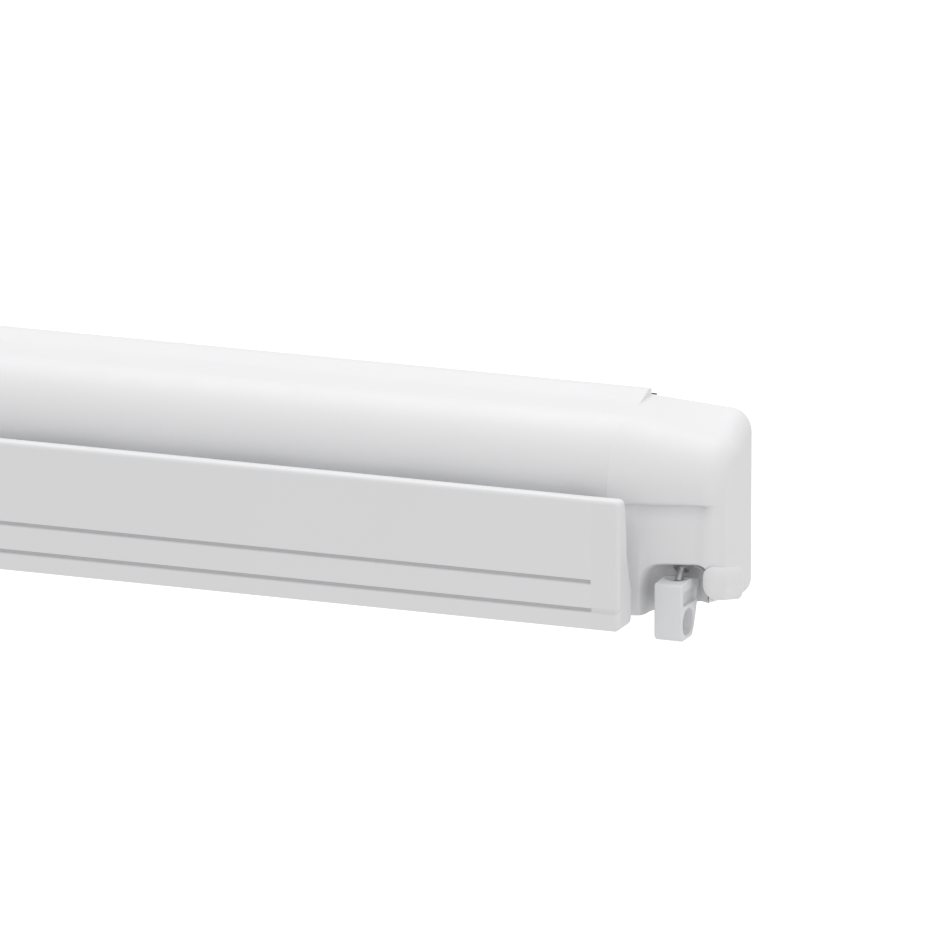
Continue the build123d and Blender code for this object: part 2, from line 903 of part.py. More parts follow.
def eye_section():
    """The eye seen from the side, about the winch axis."""
    points = [
        (-eye_front, eye_bottom),
        (-eye_front, eye_top_front),
        (0, eye_top_middle),
        (eye_rear_top, eye_top_rear),
        (eye_waist_rear, eye_waist_height),
        (eye_rear_low, eye_bottom),
    ]
    face = outline([(eye_depth + depth, height) for depth, height in points])
    by_height = face.vertices().sort_by(Axis.Y)
    face = fillet(by_height[0:2], eye_corner_round)
    upper = [vertex for vertex in face.vertices() if vertex.Y > yz(0, ball_height)[1]]
    return fillet(upper, eye_edge_round)


def eye_pocket():
    """The recess in each side of the eye, above its hole."""
    middle = Pos(*yz(eye_depth - eye_pocket_ahead, eye_pocket_centre))
    return middle * RectangleRounded(eye_pocket_width, eye_pocket_height, eye_pocket_round)


def crank_eye():
    """The winch eye: a loop for the crank's hook, with a socket for the ball of the worm shaft."""
    x = case_half + eye_inset
    half = eye_width / 2
    eye = run(eye_section(), x - half, x + half)
    hole = Pos(*yz(eye_depth - (eye_front - eye_waist_rear) / 2, eye_hole_centre)) * RectangleRounded(
        eye_hole_width, eye_hole_height, eye_hole_height / 2 - snap
    )
    eye -= run(hole, x - half - overrun, x + half + overrun)
    for side in (-1, 1):
        x_0, x_1 = sorted((x + side * (half - eye_pocket_depth), x + side * (half + overrun)))
        eye -= run(eye_pocket(), x_0, x_1)
    y, z = yz(eye_depth, ball_height)
    eye -= Pos(x, y, z) * Sphere(socket_radius)
    rise = eye_top_middle + overrun - ball_height
    lean = shaft_lean()
    throat = (neck_radius + gap) / cos(lean)
    mouth = loft([Pos(x, y, z) * Circle(throat), Pos(x, y, z + rise) * Circle(throat + rise * tan(lean))])
    return eye - mouth


# Lead bar


def lead_section():
    """The front panel's section: grooved skin, top flange, stiffening box and open leg channel."""
    skin = panel(0, lead_wall, 0, lead_height)
    skin += panel(0, lead_top_depth, lead_height - lead_wall, lead_height)
    skin += panel(lead_top_depth - lead_wall, lead_top_depth, lead_height - lead_back_lip, lead_height)
    corners = [vertex for vertex in skin.vertices() if vertex.Y > yz(0, lead_height)[1] - snap]
    section = fillet(corners, lead_top_round)
    section += panel(0, lead_box_depth, lead_box_high - lead_wall, lead_box_high)
    section += panel(lead_box_depth - lead_wall, lead_box_depth, lead_box_low, lead_box_high)
    section += panel(0, lead_channel_depth, lead_box_low, lead_box_low + lead_wall)
    section += panel(
        lead_channel_depth - lead_wall, lead_channel_depth, lead_channel_lip, lead_box_low + lead_wall
    )
    section += panel(0, lead_foot_depth, 0, lead_wall)
    half_web = hem_slot_wall / 2
    section += panel(0, hem_depth, hem_height - half_web, hem_height + half_web)
    section += disc(hem_depth, hem_height, hem_slot_radius + hem_slot_wall)
    section -= disc(hem_depth, hem_height, hem_slot_radius)
    half_mouth = hem_slot_mouth / 2
    slot_rear = hem_depth + hem_slot_radius * 2
    section -= panel(hem_depth, slot_rear, hem_height - half_mouth, hem_height + half_mouth)
    for height in (groove_low, groove_high):
        section -= groove(height)
    return section


def groove(height):
    """A groove in the front face, square above and sloped below."""
    low = height - groove_width / 2
    high = height + groove_width / 2
    return outline([(0, low - groove_slope), (groove_depth, low), (groove_depth, high), (0, high)])


def lead_bar():
    return run(lead_section(), -case_half, case_half)


def lead_cap_outline(shrink=0.0):
    points = [
        (shrink, shrink),
        (shrink, lead_height - shrink),
        (lead_top_depth - shrink, lead_height - shrink),
        (lead_box_depth - shrink, lead_box_high),
        (lead_channel_depth - shrink, lead_box_low + lead_wall),
        (lead_channel_depth - shrink, shrink),
    ]
    return outline(points)


def lead_bar_cap():
    """The plastic end of the lead bar, with a plug in the section's upper chamber."""
    x_1 = case_half + lead_cap_length
    section = lead_cap_outline()
    body = run(section, case_half, x_1)
    soft = [
        edge
        for edge in body.edges()
        if abs(edge.center().X - x_1) < snap and edge.center().Y < yz(lead_cap_round, 0)[0]
    ]
    body = fillet(soft, lead_cap_round)
    body -= run(groove(groove_low), case_half - snap, x_1 + overrun)
    hollow = run(lead_cap_outline(section_wall), case_half - snap, x_1 - section_wall - lead_cap_round)
    body -= hollow
    plug = brick(
        case_half - lead_cap_plug,
        case_half + lead_cap_length / 2,
        lead_wall + gap,
        lead_cap_plug_depth,
        lead_box_low + lead_wall + gap,
        lead_box_high - lead_wall - gap,
    )
    web = brick(
        case_half + lead_cap_length / 2 - section_wall,
        x_1 - section_wall,
        section_wall / 2,
        lead_box_depth - section_wall / 2,
        lead_box_low + lead_wall + lead_cap_web_gap,
        lead_box_high - lead_wall,
    )
    return body + plug + web


def fabric_hem():
    """The bead of the fabric's front edge in the lead bar's slot, with its free flap."""
    section = disc(hem_depth, hem_height, hem_radius)
    section += panel(
        hem_depth, hem_reach, hem_height - hem_thickness / 2, hem_height + hem_thickness / 2
    )
    half = case_half - roller_end_gap - fabric_margin
    return run(section, -half, half)


# Folding arm of the right side; the left one is its mirror image


def middle_span(tall):
    return (arm_middle_height - tall / 2, arm_middle_height + tall / 2)


def shoulder_bracket():
    """The bracket in the case: two ears about the knuckle, on a plate against the rear wall."""
    low, high = middle_span(upper_height + gap * 2)
    ear_low = low - shoulder_ear
    ear_high = high + shoulder_ear
    rear = case_depth - section_wall
    x_0 = shoulder_x - shoulder_half_width
    x_1 = shoulder_x + shoulder_half_width
    port_front = case_depth - screw_port_inset - screw_port_radius - gap
    port_top = floor_height + screw_port_inset + screw_port_radius + gap
    bracket = brick(x_0, x_1, rear - shoulder_plate, rear, port_top, ear_high)
    bracket += brick(x_0, x_1, shoulder_pivot_depth, rear, high, ear_high)
    bracket += brick(x_0, x_1, shoulder_pivot_depth, port_front, ear_low, low)
    bracket += brick(x_0, x_1, shoulder_pivot_depth, rear, port_top, low)
    for height_0, height_1 in ((ear_low, low), (high, ear_high)):
        bracket += rod_z(shoulder_x, shoulder_pivot_depth, knuckle_radius, height_0, height_1)
        ear = brick(x_0, x_1, 0, wall_depth, height_0, height_1)
        bracket -= ear & brick(x_0, x_1, port_front, wall_depth, ear_low, port_top)
    hole = rod_z(shoulder_x, shoulder_pivot_depth, shoulder_pin_radius, ear_low - overrun, ear_high + overrun)
    return bracket - hole


def shoulder_pin():
    low, high = middle_span(upper_height + (gap + shoulder_ear) * 2)
    return rod_z(shoulder_x, shoulder_pivot_depth, shoulder_pin_radius, low, high)


def upper_middle():
    return shoulder_pivot_depth - upper_offset


def fore_middle():
    return wrist_pivot_depth + upper_offset


def shoulder_knuckle():
    low, high = middle_span(upper_height)
    near = upper_middle() - upper_width / 2
    far = upper_middle() + upper_width / 2
    knuckle = rod_z(shoulder_x, shoulder_pivot_depth, knuckle_radius, low, high)
    knuckle += brick(shoulder_x - joint_reach, shoulder_x, near, far, low, high)
    plug_low, plug_high = middle_span(upper_height - arm_wall * 2)
    knuckle += brick(
        shoulder_x - joint_reach - joint_plug,
        shoulder_x - joint_reach,
        near + arm_wall,
        far - arm_wall,
        plug_low,
        plug_high,
    )
    bore = shoulder_pin_radius + fit
    return knuckle - rod_z(shoulder_x, shoulder_pivot_depth, bore, low - overrun, high + overrun)


def upper_arm():
    section = tube_section(upper_middle(), arm_middle_height, upper_width, upper_height, arm_wall)
    return run(section, elbow_x + joint_reach, shoulder_x - joint_reach)


def elbow_fork():
    low, high = middle_span(upper_height)
    near = upper_middle() - upper_width / 2
    far = upper_middle() + upper_width / 2
    plug_low, plug_high = middle_span(upper_height - arm_wall * 2)
    fork = brick(
        elbow_x + joint_reach,
        elbow_x + joint_reach + joint_plug,
        near + arm_wall,
        far - arm_wall,
        plug_low,
        plug_high,
    )
    fork += brick(elbow_x + joint_reach / 2, elbow_x + joint_reach, near, far, low, high)
    for height_0, height_1 in ((low, low + ear_height), (high - ear_height, high)):
        fork += rod_z(elbow_x, arm_middle_depth, fork_radius, height_0, height_1)
        fork += brick(elbow_x, elbow_x + joint_reach, arm_middle_depth - gap, far, height_0, height_1)
    bore = elbow_pin_radius
    return fork - rod_z(elbow_x, arm_middle_depth, bore, low - overrun, high + overrun)


def elbow_pin():
    low, high = middle_span(upper_height)
    pin = rod_z(elbow_x, arm_middle_depth, elbow_pin_radius, low, high)
    head = elbow_pin_radius + pin_head_extra
    pin += rod_z(elbow_x, arm_middle_depth, head, low - pin_head, low)
    return pin + rod_z(elbow_x, arm_middle_depth, head, high, high + pin_head)


def forearm_end(x, pivot_depth, radius, pin_radius, toward):
    """A knuckle of the forearm: barrel, neck, shoulder block and plug in the tube."""
    low, high = middle_span(tongue_height)
    full_low, full_high = middle_span(fore_height)
    plug_low, plug_high = middle_span(fore_height - arm_wall * 2)
    near = fore_middle() - fore_width / 2
    far = fore_middle() + fore_width / 2
    neck_near = min(pivot_depth, fore_middle(), max(near, pivot_depth - radius))
    neck_far = max(pivot_depth, fore_middle(), min(far, pivot_depth + radius))
    x_tube = x + toward * joint_reach
    end = rod_z(x, pivot_depth, radius, low, high)
    end += brick(*sorted((x, x_tube)), neck_near, neck_far, low, high)
    end += brick(*sorted((x + toward * joint_reach * block_share, x_tube)), near, far, full_low, full_high)
    end += brick(
        *sorted((x_tube, x_tube + toward * joint_plug)), near + arm_wall, far - arm_wall, plug_low, plug_high
    )
    return end - rod_z(x, pivot_depth, pin_radius + fit, low - overrun, high + overrun)


def elbow_tongue():
    return forearm_end(elbow_x, arm_middle_depth, tongue_radius, elbow_pin_radius, 1)


def wrist_block():
    return forearm_end(shoulder_x, wrist_pivot_depth, wrist_radius, wrist_pin_radius, -1)


def forearm():
    section = tube_section(fore_middle(), arm_middle_height, fore_width, fore_height, arm_wall)
    return run(section, elbow_x + joint_reach, shoulder_x - joint_reach)


def arm_spring():
    """The tension spring in the forearm with its rod, as a plain sleeve."""
    start = elbow_x + joint_reach + joint_plug
    eye_end = start + spring_eye_length
    spring = rod_x(fore_middle(), arm_middle_height, spring_radius, eye_end, start + spring_length)
    return spring + rod_x(fore_middle(), arm_middle_height, spring_bore, start, eye_end)


def wrist_bracket():
    """The lead bar's bracket: two ears about the wrist block, on a stepped web."""
    low, high = middle_span(tongue_height + gap * 2)
    x_0 = shoulder_x - wrist_radius
    x_1 = shoulder_x + wrist_radius
    top = high + wrist_ear_height
    bottom = low - wrist_ear_height
    bracket = brick(x_0, x_1, lead_box_depth, wrist_web_depth, lead_box_low + lead_wall, top)
    bracket += brick(x_0, x_1, lead_channel_depth + gap, wrist_web_depth, bottom, top)
    for height_0, height_1 in ((bottom, low), (high, top)):
        bracket += brick(x_0, x_1, wrist_web_depth - snap, wrist_pivot_depth, height_0, height_1)
        bracket += rod_z(shoulder_x, wrist_pivot_depth, wrist_radius, height_0, height_1)
    hole = rod_z(shoulder_x, wrist_pivot_depth, wrist_pin_radius, bottom - overrun, top + overrun)
    return bracket - hole


def wrist_pin():
    low, high = middle_span(tongue_height + (gap + wrist_ear_height) * 2)
    return rod_z(shoulder_x, wrist_pivot_depth, wrist_pin_radius, low, high)


# Support leg of the right side


def leg_span():
    return (leg_middle_depth - leg_width / 2, leg_middle_depth + leg_width / 2)


def leg_bracket():
    """Two cheeks on a plate under the channel's roof."""
    x_0 = leg_x - leg_bracket_half
    x_1 = leg_x + leg_bracket_half
    low = leg_height - leg_head_radius
    rear = lead_channel_depth - lead_wall
    near, far = leg_span()
    bracket = brick(x_0, x_1, lead_wall, rear, leg_height + leg_head_radius + gap, lead_box_low)
    bracket += brick(x_0, x_1, lead_wall, near - gap, low, lead_box_low)
    bracket += brick(x_0, x_1, far + gap, rear, low, lead_box_low)
    return bracket - rod_y(leg_x, leg_height, leg_pin_radius, 0, lead_channel_depth)


def leg_pin():
    rear = lead_channel_depth - lead_wall
    return rod_y(leg_x, leg_height, leg_pin_radius, lead_wall, rear)


def leg_head():
    near, far = leg_span()
    low = leg_height - leg_section_height / 2
    high = leg_height + leg_section_height / 2
    head = rod_y(leg_x, leg_height, leg_head_radius, near, far)
    head += brick(leg_x - leg_head_length, leg_x, near, far, low, high)
    head += brick(
        leg_x - leg_head_length - leg_head_plug,
        leg_x - leg_head_length,
        near + leg_wall,
        far - leg_wall,
        low + leg_wall,
        high - leg_wall,
    )
    return head - rod_y(leg_x, leg_height, leg_pin_radius + fit, near - overrun, far + overrun)


def leg_tube():
    section = tube_section(leg_middle_depth, leg_height, leg_width, leg_section_height, leg_wall)
    return run(section, leg_end_x, leg_end_x + leg_length)


def leg_clamp():
    """The collar on the outer tube's end, with lugs for the lever."""
    near = lead_foot_depth + gap
    far = lead_channel_depth - lead_wall - gap
    clamp = brick(leg_end_x - section_wall, leg_end_x + clamp_length, near, far, clamp_low, clamp_high)
    tube = Pos(*yz(leg_middle_depth, leg_height)) * RectangleRounded(leg_width, leg_section_height, leg_wall)
    clamp -= run(tube, leg_end_x, leg_end_x + clamp_length + overrun)
    clear = inner_section(inner_gap)
    clamp -= run(clear, leg_end_x - section_wall - overrun, leg_end_x + overrun)
    pivot_x = lever_pivot_x()
    lug_reach = lever_pivot_radius + lever_lug
    groove = lever_pivot_radius + gap
    inner_half = lever_width / 2 + gap
    inner_near = leg_middle_depth - inner_half
    inner_far = leg_middle_depth + inner_half
    clamp -= rod_y(pivot_x, lever_pivot_height, groove + gap, inner_near, inner_far)
    for side in (-1, 1):
        depth_0, depth_1 = sorted(
            (leg_middle_depth + side * inner_half, leg_middle_depth + side * (inner_half + lever_lug))
        )
        lug = brick(
            pivot_x - lug_reach, pivot_x + lug_reach, depth_0, depth_1, lever_pivot_height - groove, clamp_low
        )
        bore = rod_y(pivot_x, lever_pivot_height, lever_pivot_radius + fit, depth_0 - snap, depth_1 + snap)
        clamp = clamp + lug - bore
    return clamp


def lever_pivot_x():
    return leg_end_x + lever_pivot_radius + lever_lug + section_wall


def clamp_lever():
    """The cam lever under the collar, turning on its own trunnions."""
    pivot_x = lever_pivot_x()
    half = lever_width / 2
    reach = half + gap + lever_lug
    lever = rod_y(
        pivot_x, lever_pivot_height, lever_pivot_radius, leg_middle_depth - reach, leg_middle_depth + reach
    )
    top = lever_pivot_height + lever_pivot_radius / 2
    near = leg_middle_depth - half
    far = leg_middle_depth + half
    return lever + brick(pivot_x, pivot_x + lever_length, near, far, top - lever_thickness, top)


def inner_section(grow=0.0):
    width = leg_width - leg_wall * 2 - inner_gap * 2 + grow * 2
    tall = leg_section_height - leg_wall * 2 - inner_gap * 2 + grow * 2
    return Pos(*yz(leg_middle_depth, leg_height)) * Rectangle(width, tall)


def foot_x():
    return leg_end_x - inner_stick_out - foot_tongue_length / 2


def leg_inner_tube():
    """The sliding tube, closed at its foot end by a tongue for the foot."""
    start = leg_end_x - inner_stick_out
    width = leg_width - leg_wall * 2 - inner_gap * 2
    tall = leg_section_height - leg_wall * 2 - inner_gap * 2
    hollow = Pos(*yz(leg_middle_depth, leg_height)) * Rectangle(width - inner_wall * 2, tall - inner_wall * 2)
    tube = run(inner_section(), start, start + inner_length)
    tube -= run(hollow, start + inner_stick_out / 2, start + inner_length + overrun)
    near = leg_middle_depth - foot_tongue_width / 2
    far = leg_middle_depth + foot_tongue_width / 2
    tube += rod_y(foot_x(), leg_height, foot_tongue_height / 2, near, far)
    tube += brick(
        foot_x(),
        start + snap,
        near,
        far,
        leg_height - foot_tongue_height / 2,
        leg_height + foot_tongue_height / 2,
    )
    bore = foot_pivot_radius + fit
    return tube - rod_y(foot_x(), leg_height, bore, near - overrun, far + overrun)


def leg_foot():
    """The tilting foot: two cheeks and a base, on a pin through the tongue."""
    half = foot_tongue_width / 2 + gap
    outer = half + foot_cheek
    foot = rod_y(foot_x(), leg_height, foot_pivot_radius, leg_middle_depth - outer, leg_middle_depth + outer)
    cheek_radius = foot_tongue_height / 2
    for side in (-1, 1):
        depth_0, depth_1 = sorted((leg_middle_depth + side * half, leg_middle_depth + side * outer))
        foot += rod_y(foot_x(), leg_height, cheek_radius, depth_0, depth_1)
        foot += brick(
            foot_x() - foot_reach,
            foot_x(),
            depth_0,
            depth_1,
            leg_height - cheek_radius,
            leg_height + cheek_radius,
        )
    return foot + brick(
        foot_x() - foot_reach - foot_base,
        foot_x() - foot_reach,
        leg_middle_depth - outer,
        leg_middle_depth + outer,
        leg_height - foot_half_height,
        leg_height + foot_half_height,
    )


def both_sides(solids):
    """Solids of the right side and their mirror images, as one group."""
    return Compound(children=[*solids, *(mirrored(solid) for solid in solids)])


def single(shape):
    """The one solid of a finished piece."""
    return shape.solids()[0] if len(shape.solids()) == 1 else shape


parts = {
    "case_shell": case_shell(),
    "wall_brackets": Compound(children=[single(wall_bracket(x)) for x in bracket_places()]),
    "bracket_bolts": Compound(children=[single(bracket_bolt(x)) for x in bracket_places()]),
    "wall_seal": wall_seal(),
    "floor_seal": floor_seal(),
    "end_screws": both_sides([single(screw) for screw in end_screws()]),
    "roller_bushes": both_sides([single(roller_bush())]),
    "shoulder_brackets": both_sides([single(shoulder_bracket())]),
    "shoulder_pins": both_sides([single(shoulder_pin())]),
    "end_cap_left": mirrored(cap_with_screw_holes(end_cap())),
    "end_cap_right": cap_with_screw_holes(cap_with_winch()),
    "gearbox_housing": gearbox_half(-1),
    "gearbox_cover": gearbox_half(1),
    "roller_tube": roller_tube(),
    "fabric_roll": fabric_roll(),
    "roller_plug_left": mirrored(roller_plug(case_half + plate_thickness + roller_end_gap)),
    "roller_plug_right": drive_plug(),
    "worm_wheel": worm_wheel(),
    "worm_shaft": worm_shaft(),
    "crank_eye": crank_eye(),
    "lead_bar": lead_bar(),
    "fabric_hem": fabric_hem(),
    "wrist_brackets": both_sides([single(wrist_bracket())]),
    "wrist_pins": both_sides([single(wrist_pin())]),
    "leg_brackets": both_sides([single(leg_bracket())]),
    "leg_pins": both_sides([single(leg_pin())]),
}
paired = {
    "end_plate": end_plate,
    "lead_bar_cap": lead_bar_cap,
    "shoulder_knuckle": shoulder_knuckle,
    "upper_arm": upper_arm,
    "elbow_fork": elbow_fork,
    "elbow_pin": elbow_pin,
    "elbow_tongue": elbow_tongue,
    "forearm": forearm,
    "wrist_block": wrist_block,
    "arm_spring": arm_spring,
    "leg_head": leg_head,
    "leg_tube": leg_tube,
    "leg_clamp": leg_clamp,
    "clamp_lever": clamp_lever,
    "leg_inner_tube": leg_inner_tube,
    "leg_foot": leg_foot,
}
for name, make in paired.items():
    piece = make()
    parts[name + "_right"] = piece
    parts[name + "_left"] = mirrored(piece)

os.makedirs("parts", exist_ok=True)
for name, piece in parts.items():
    export_step(piece, f"parts/{name}.step")
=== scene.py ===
import json
from math import asin, atan2, cos, hypot, pi, radians, sin, sqrt, tan

import bmesh
import bpy
from mathutils import Matrix, Vector


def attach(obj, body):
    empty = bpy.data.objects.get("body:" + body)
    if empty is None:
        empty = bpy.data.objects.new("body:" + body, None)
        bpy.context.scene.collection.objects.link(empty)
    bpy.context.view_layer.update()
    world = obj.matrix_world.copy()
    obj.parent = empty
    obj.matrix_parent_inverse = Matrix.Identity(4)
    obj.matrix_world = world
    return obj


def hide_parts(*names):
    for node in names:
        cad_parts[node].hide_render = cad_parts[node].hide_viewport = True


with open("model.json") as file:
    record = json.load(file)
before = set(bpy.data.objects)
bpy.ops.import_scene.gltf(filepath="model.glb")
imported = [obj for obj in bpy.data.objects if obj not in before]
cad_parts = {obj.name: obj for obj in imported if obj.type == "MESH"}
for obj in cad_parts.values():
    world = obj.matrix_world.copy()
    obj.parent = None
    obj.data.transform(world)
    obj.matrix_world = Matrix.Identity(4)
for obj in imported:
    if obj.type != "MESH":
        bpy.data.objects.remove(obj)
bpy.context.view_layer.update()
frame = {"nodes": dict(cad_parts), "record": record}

# Sizes in millimetres, as in the part: sections are drawn as (depth, height), with depth measured
# rearwards from the lead bar's front face and height upwards from its lower edge.
MM = 0.001
awning_length = 2650.0
wall_depth = 112.0
origin_height = 64.0
case_depth = 103.0
section_wall = 2.0
floor_height = 3.0
floor_front = 24.0
floor_lip = 6.0
shoulder_depth = 61.0
shoulder_height = 120.4
top_rear_height = 123.1
front_edge_depth = 28.0
front_edge_height = 74.0
front_turn_deg = 88.0
rear_lip_rise = 4.0
rear_lip_width = 5.5
rear_lip_ramp = 15.0
screw_port_radius = 3.2
screw_port_bore = 1.6
screw_port_inset = 5.2
screw_port_drop = 9.0
rail_top = 114.0
rail_bottom = 104.0
rail_depth = 108.1
rail_wall = 2.0

# End caps of the case
cap_length = 66.5
cap_shoulder_back = 19.5
cap_shoulder_drop = 13.8
cap_top_drop = 4.3
cap_front_back = 20.0
cap_floor_height = 1.5
cap_foot_rise = 8.0
cap_round = 12.0
cap_first_section = 10.0
cap_section_step = 2.0
ledge_step = 2.6
ledge_nose = 2.1
ledge_cove = 5.4
ledge_cove_height = 6.8
# The ledge's nose and the hollow under it, as shares of their sizes: (across, downwards).
ledge_nose_form = [(0.12, 0.5), (0.45, 1.0), (1.0, 1.3)]
ledge_cove_form = [
    (0.0, 0.42), (0.75, 0.5), (1.0, 0.65), (0.8, 1.0), (0.35, 1.5), (0.08, 2.1), (0.0, 2.7)
]
recess_length = 56.5
recess_blend = 7.0
pad_rise = 1.2
pad_crown = 2.0
pad_crown_width = 8.0
pad_crown_power = 2.6
pad_sink = 1.0
pad_height = 21.0
pad_middle_height = 22.6
pad_lean_deg = 12.0
pad_start = -9.0
pad_end = 40.0
pad_round = 8.0
pad_round_loss = 0.76
pad_least_round = 0.01
pad_long_side_pieces = 24
pad_insets = [0.0, 0.3, 0.7, 1.2, 1.9, 2.8, 4.0, 5.5, 7.2, 9.0, pad_height / 2 - 0.02]

# Mouth and crank eye
eye_inset = 39.0
eye_depth = 45.0
mouth_half_width = 18.9
mouth_height = 32.4
mouth_round = 9.0
mouth_rim = 2.6
mouth_rim_right = 0.25
# The mouth's flare: how far behind the cap's front, and the share of the rim's width there.
mouth_flare = [
    (-6, 1.1), (-0.3, 1.0), (0.2, 0.8), (0.9, 0.6), (1.9, 0.4), (3.2, 0.22), (4.8, 0.08), (7.0, 0)
]
mouth_back_steps = 12
shaft_hole_radius = 6.0
shaft_hole_start = 8.0
shaft_hole_length = 24.0
eye_width = 18.0
eye_front = 16.0
eye_rear_top = 16.2
eye_rear_low = 3.0
eye_bottom = -11.2
eye_waist_height = -1.0
eye_waist_rear = 8.2
eye_top_front = 24.6
eye_top_rear = 22.4
eye_top_middle = 25.4
eye_corner = 1.6
eye_low_corner = 4.0
eye_soft = 1.1
eye_hole_height = 16.0
eye_hole_width = 18.6
eye_hole_centre = -0.6
eye_pocket_depth = 2.6
eye_pocket_width = 22.6
eye_pocket_height = 9.0
eye_pocket_round = 2.0
eye_pocket_centre = 14.8
eye_pocket_ahead = 1.9
ball_height = 19.0
socket_radius = 5.1
neck_radius = 2.4
gap = 0.3
roller_depth = 69.0
roller_height = 82.0
gear_distance = 18.0

# Lead bar and its end caps
lead_height = 81.5
lead_wall = 1.8
lead_top_depth = 9.2
lead_top_round = 3.0
lead_top_rear_round = 2.2
lead_back_lip = 5.0
lead_box_depth = 12.0
lead_box_low = 20.5
lead_box_high = 58.0
lead_channel_depth = 20.0
lead_channel_lip = 12.0
lead_foot_depth = 3.2
groove_low = 12.3
groove_high = 30.0
groove_width = 1.9
groove_depth = 1.5
groove_slope = 1.2
groove_soft = 0.25
groove_inner_soft = 0.15
hem_depth = 6.4
hem_height = 69.0
hem_slot_radius = 2.6
hem_slot_wall = 1.6
hem_slot_mouth = 2.4
hem_slot_lip = 0.7
hem_slot_steps = 36
lead_cap_length = 18.5
lead_cap_round = 3.0
lead_cap_bulge = 0.6
lead_cap_bulge_height = 45.0
notch_reach = 8.4
notch_radius = 1.3
notch_depth = 4.0
plug_depth = 8.0
plug_length = 16.0

# Cloth
roller_radius = 21.0
roller_end_gap = 6.0
fabric_length = 2150.0
fabric_thickness = 0.42
fabric_radius = 27.98
fabric_margin = 18.0
fabric_stagger = 0.35
stagger_rate = 4.4
roll_clearance = 0.01
roll_steps = 72
hem_radius = 2.2
hem_sleeve = 15.0
hem_reach = 43.0
hem_thickness = 0.6
hem_sewn_share = 1.5
hem_steps = 28
# The sewn end of the sleeve: (depth from its end, share of its half thickness), with the seam's dent.
hem_seam_form = [(-2.6, 1.0), (-2.2, 0.8), (-1.8, 1.0), (0.0, 1.0)]

case_half = awning_length / 2 - cap_length
cap_side = cap_length - pad_rise
sharp_angle = 38.0
node_sharp_angle = 32.0
arc_steps = 30
round_steps = 8
same_point = 1e-6
nearly_parallel = 0.02
upwards = Vector((0, 0, 1))

# The photograph's camera, solved from the perspective of the long edges: the lower front corner
# of the seam between lead bar and cap lies at this pixel.
photo_size = 951
seam_pixel = (590.5, 629.6)
pixels_per_mm = 1.65
focal_pixels = 15350.0
view_turn = 21.5
view_height = 14.47
sensor_mm = 36.0
camera_far = 200.0

# The stage, in metres: the floor lies where the lowered feet stand. Each lamp has its place from
# the point it aims at, its size and its power in watts.
ground_drop = 1.983
floor_half_size = 7.0
floor_grey = 0.8
floor_roughness = 0.9
floor_glow = 0.65
world_lighting = 0.76
world_seen = 1.2
lamps = {
    "overhead": ((0.0, 0.8, 2.4), (3.4, 1.8), 30.0),
    "front": ((0.5, -2.5, 1.1), (2.4, 0.9), 5.0),
    "side": ((2.2, -1.3, 0.06), (1.0, 0.16), 3.4),
}

# Finishes. Depths of relief are in millimetres, the scales of noise and threads per metre.
grain_detail = 3.0
tone_noise_scale = 14.0
tone_detail = 5.0
gloss_noise_scale = 60.0
gloss_detail = 6.0
gloss_noise_span = (0.3, 0.7)
rough_spread = 0.06
# Painted shade in the lead bar's grooves starts this far behind the lead bar's front, is full just before the
# groove's floor, and ends just behind it. Its width is a share of the groove's, to each side.
groove_shade_start = 0.25
groove_shade_before_floor = 0.1
groove_shade_behind_floor = 0.15
groove_shade_width = 0.8
# The colour of the painted shade in the grooves.
groove_shade_colour = (0.30, 0.30, 0.31, 1)
# A wave texture of scale 1 repeats after this length. A stripe and its gap share the stripe pitch.
wave_period = 0.1 * pi
stripe_pitch = 0.12
stripe_colour = (0.30, 0.32, 0.35, 1)
thread_scale = 1 / 0.0012
thread_wobble = 0.2
thread_relief = 0.08
cloth_sheen = 0.15
cloth = dict(colour=(0.42, 0.44, 0.47), roughness=0.7, grain=1800.0, grain_depth=0.03, mottle=0.04)
finishes = {
    # The case paint's last entry is the strength of the painted shade in the lead bar's grooves.
    "case_paint": dict(
        colour=(0.80, 0.80, 0.81), roughness=0.42, grain=1100.0, grain_depth=0.012, mottle=0.012, groove_shade=0.5
    ),
    "cap_plastic": dict(
        colour=(0.79, 0.79, 0.80), roughness=0.46, grain=2400.0, grain_depth=0.02, mottle=0.015
    ),
    "eye_plastic": dict(
        colour=(0.78, 0.785, 0.795), roughness=0.48, grain=2200.0, grain_depth=0.02, mottle=0.02
    ),
    "seal_rubber": dict(
        colour=(0.03, 0.03, 0.03), roughness=0.75, grain=1500.0, grain_depth=0.05, mottle=0.15
    ),
    "cast_aluminium": dict(
        colour=(0.62, 0.63, 0.64), roughness=0.45, metallic=1.0, grain=1300.0, grain_depth=0.06, mottle=0.06
    ),
    "leg_aluminium": dict(
        colour=(0.72, 0.73, 0.74), roughness=0.36, metallic=1.0, grain=2200.0, grain_depth=0.01,
        stretch=40.0, mottle=0.03
    ),
    "steel": dict(
        colour=(0.55, 0.55, 0.56), roughness=0.38, metallic=1.0, grain=1800.0, grain_depth=0.02, mottle=0.08
    ),
    "bush_plastic": dict(
        colour=(0.05, 0.05, 0.055), roughness=0.45, grain=2000.0, grain_depth=0.03, mottle=0.1
    ),
    "wheel_brass": dict(
        colour=(0.68, 0.50, 0.22), roughness=0.35, metallic=1.0, grain=1500.0, grain_depth=0.02, mottle=0.06
    ),
}


def place(x, depth, height):
    """A point of the frame, in metres, from millimetres in the part's own terms."""
    return Vector((x, depth - wall_depth, height - origin_height)) * MM


# Outlines


def turns(start, end, steps=18):
    """Evenly spaced angles, both ends included."""
    return [start + (end - start) * n / steps for n in range(steps + 1)]


def arc_about(centre, radius, angles):
    return [Vector(centre) + Vector((cos(a), sin(a))) * radius for a in angles]


def circle_points(centre, radius, steps=32):
    return arc_about(centre, radius, turns(0, 2 * pi, steps)[:-1])


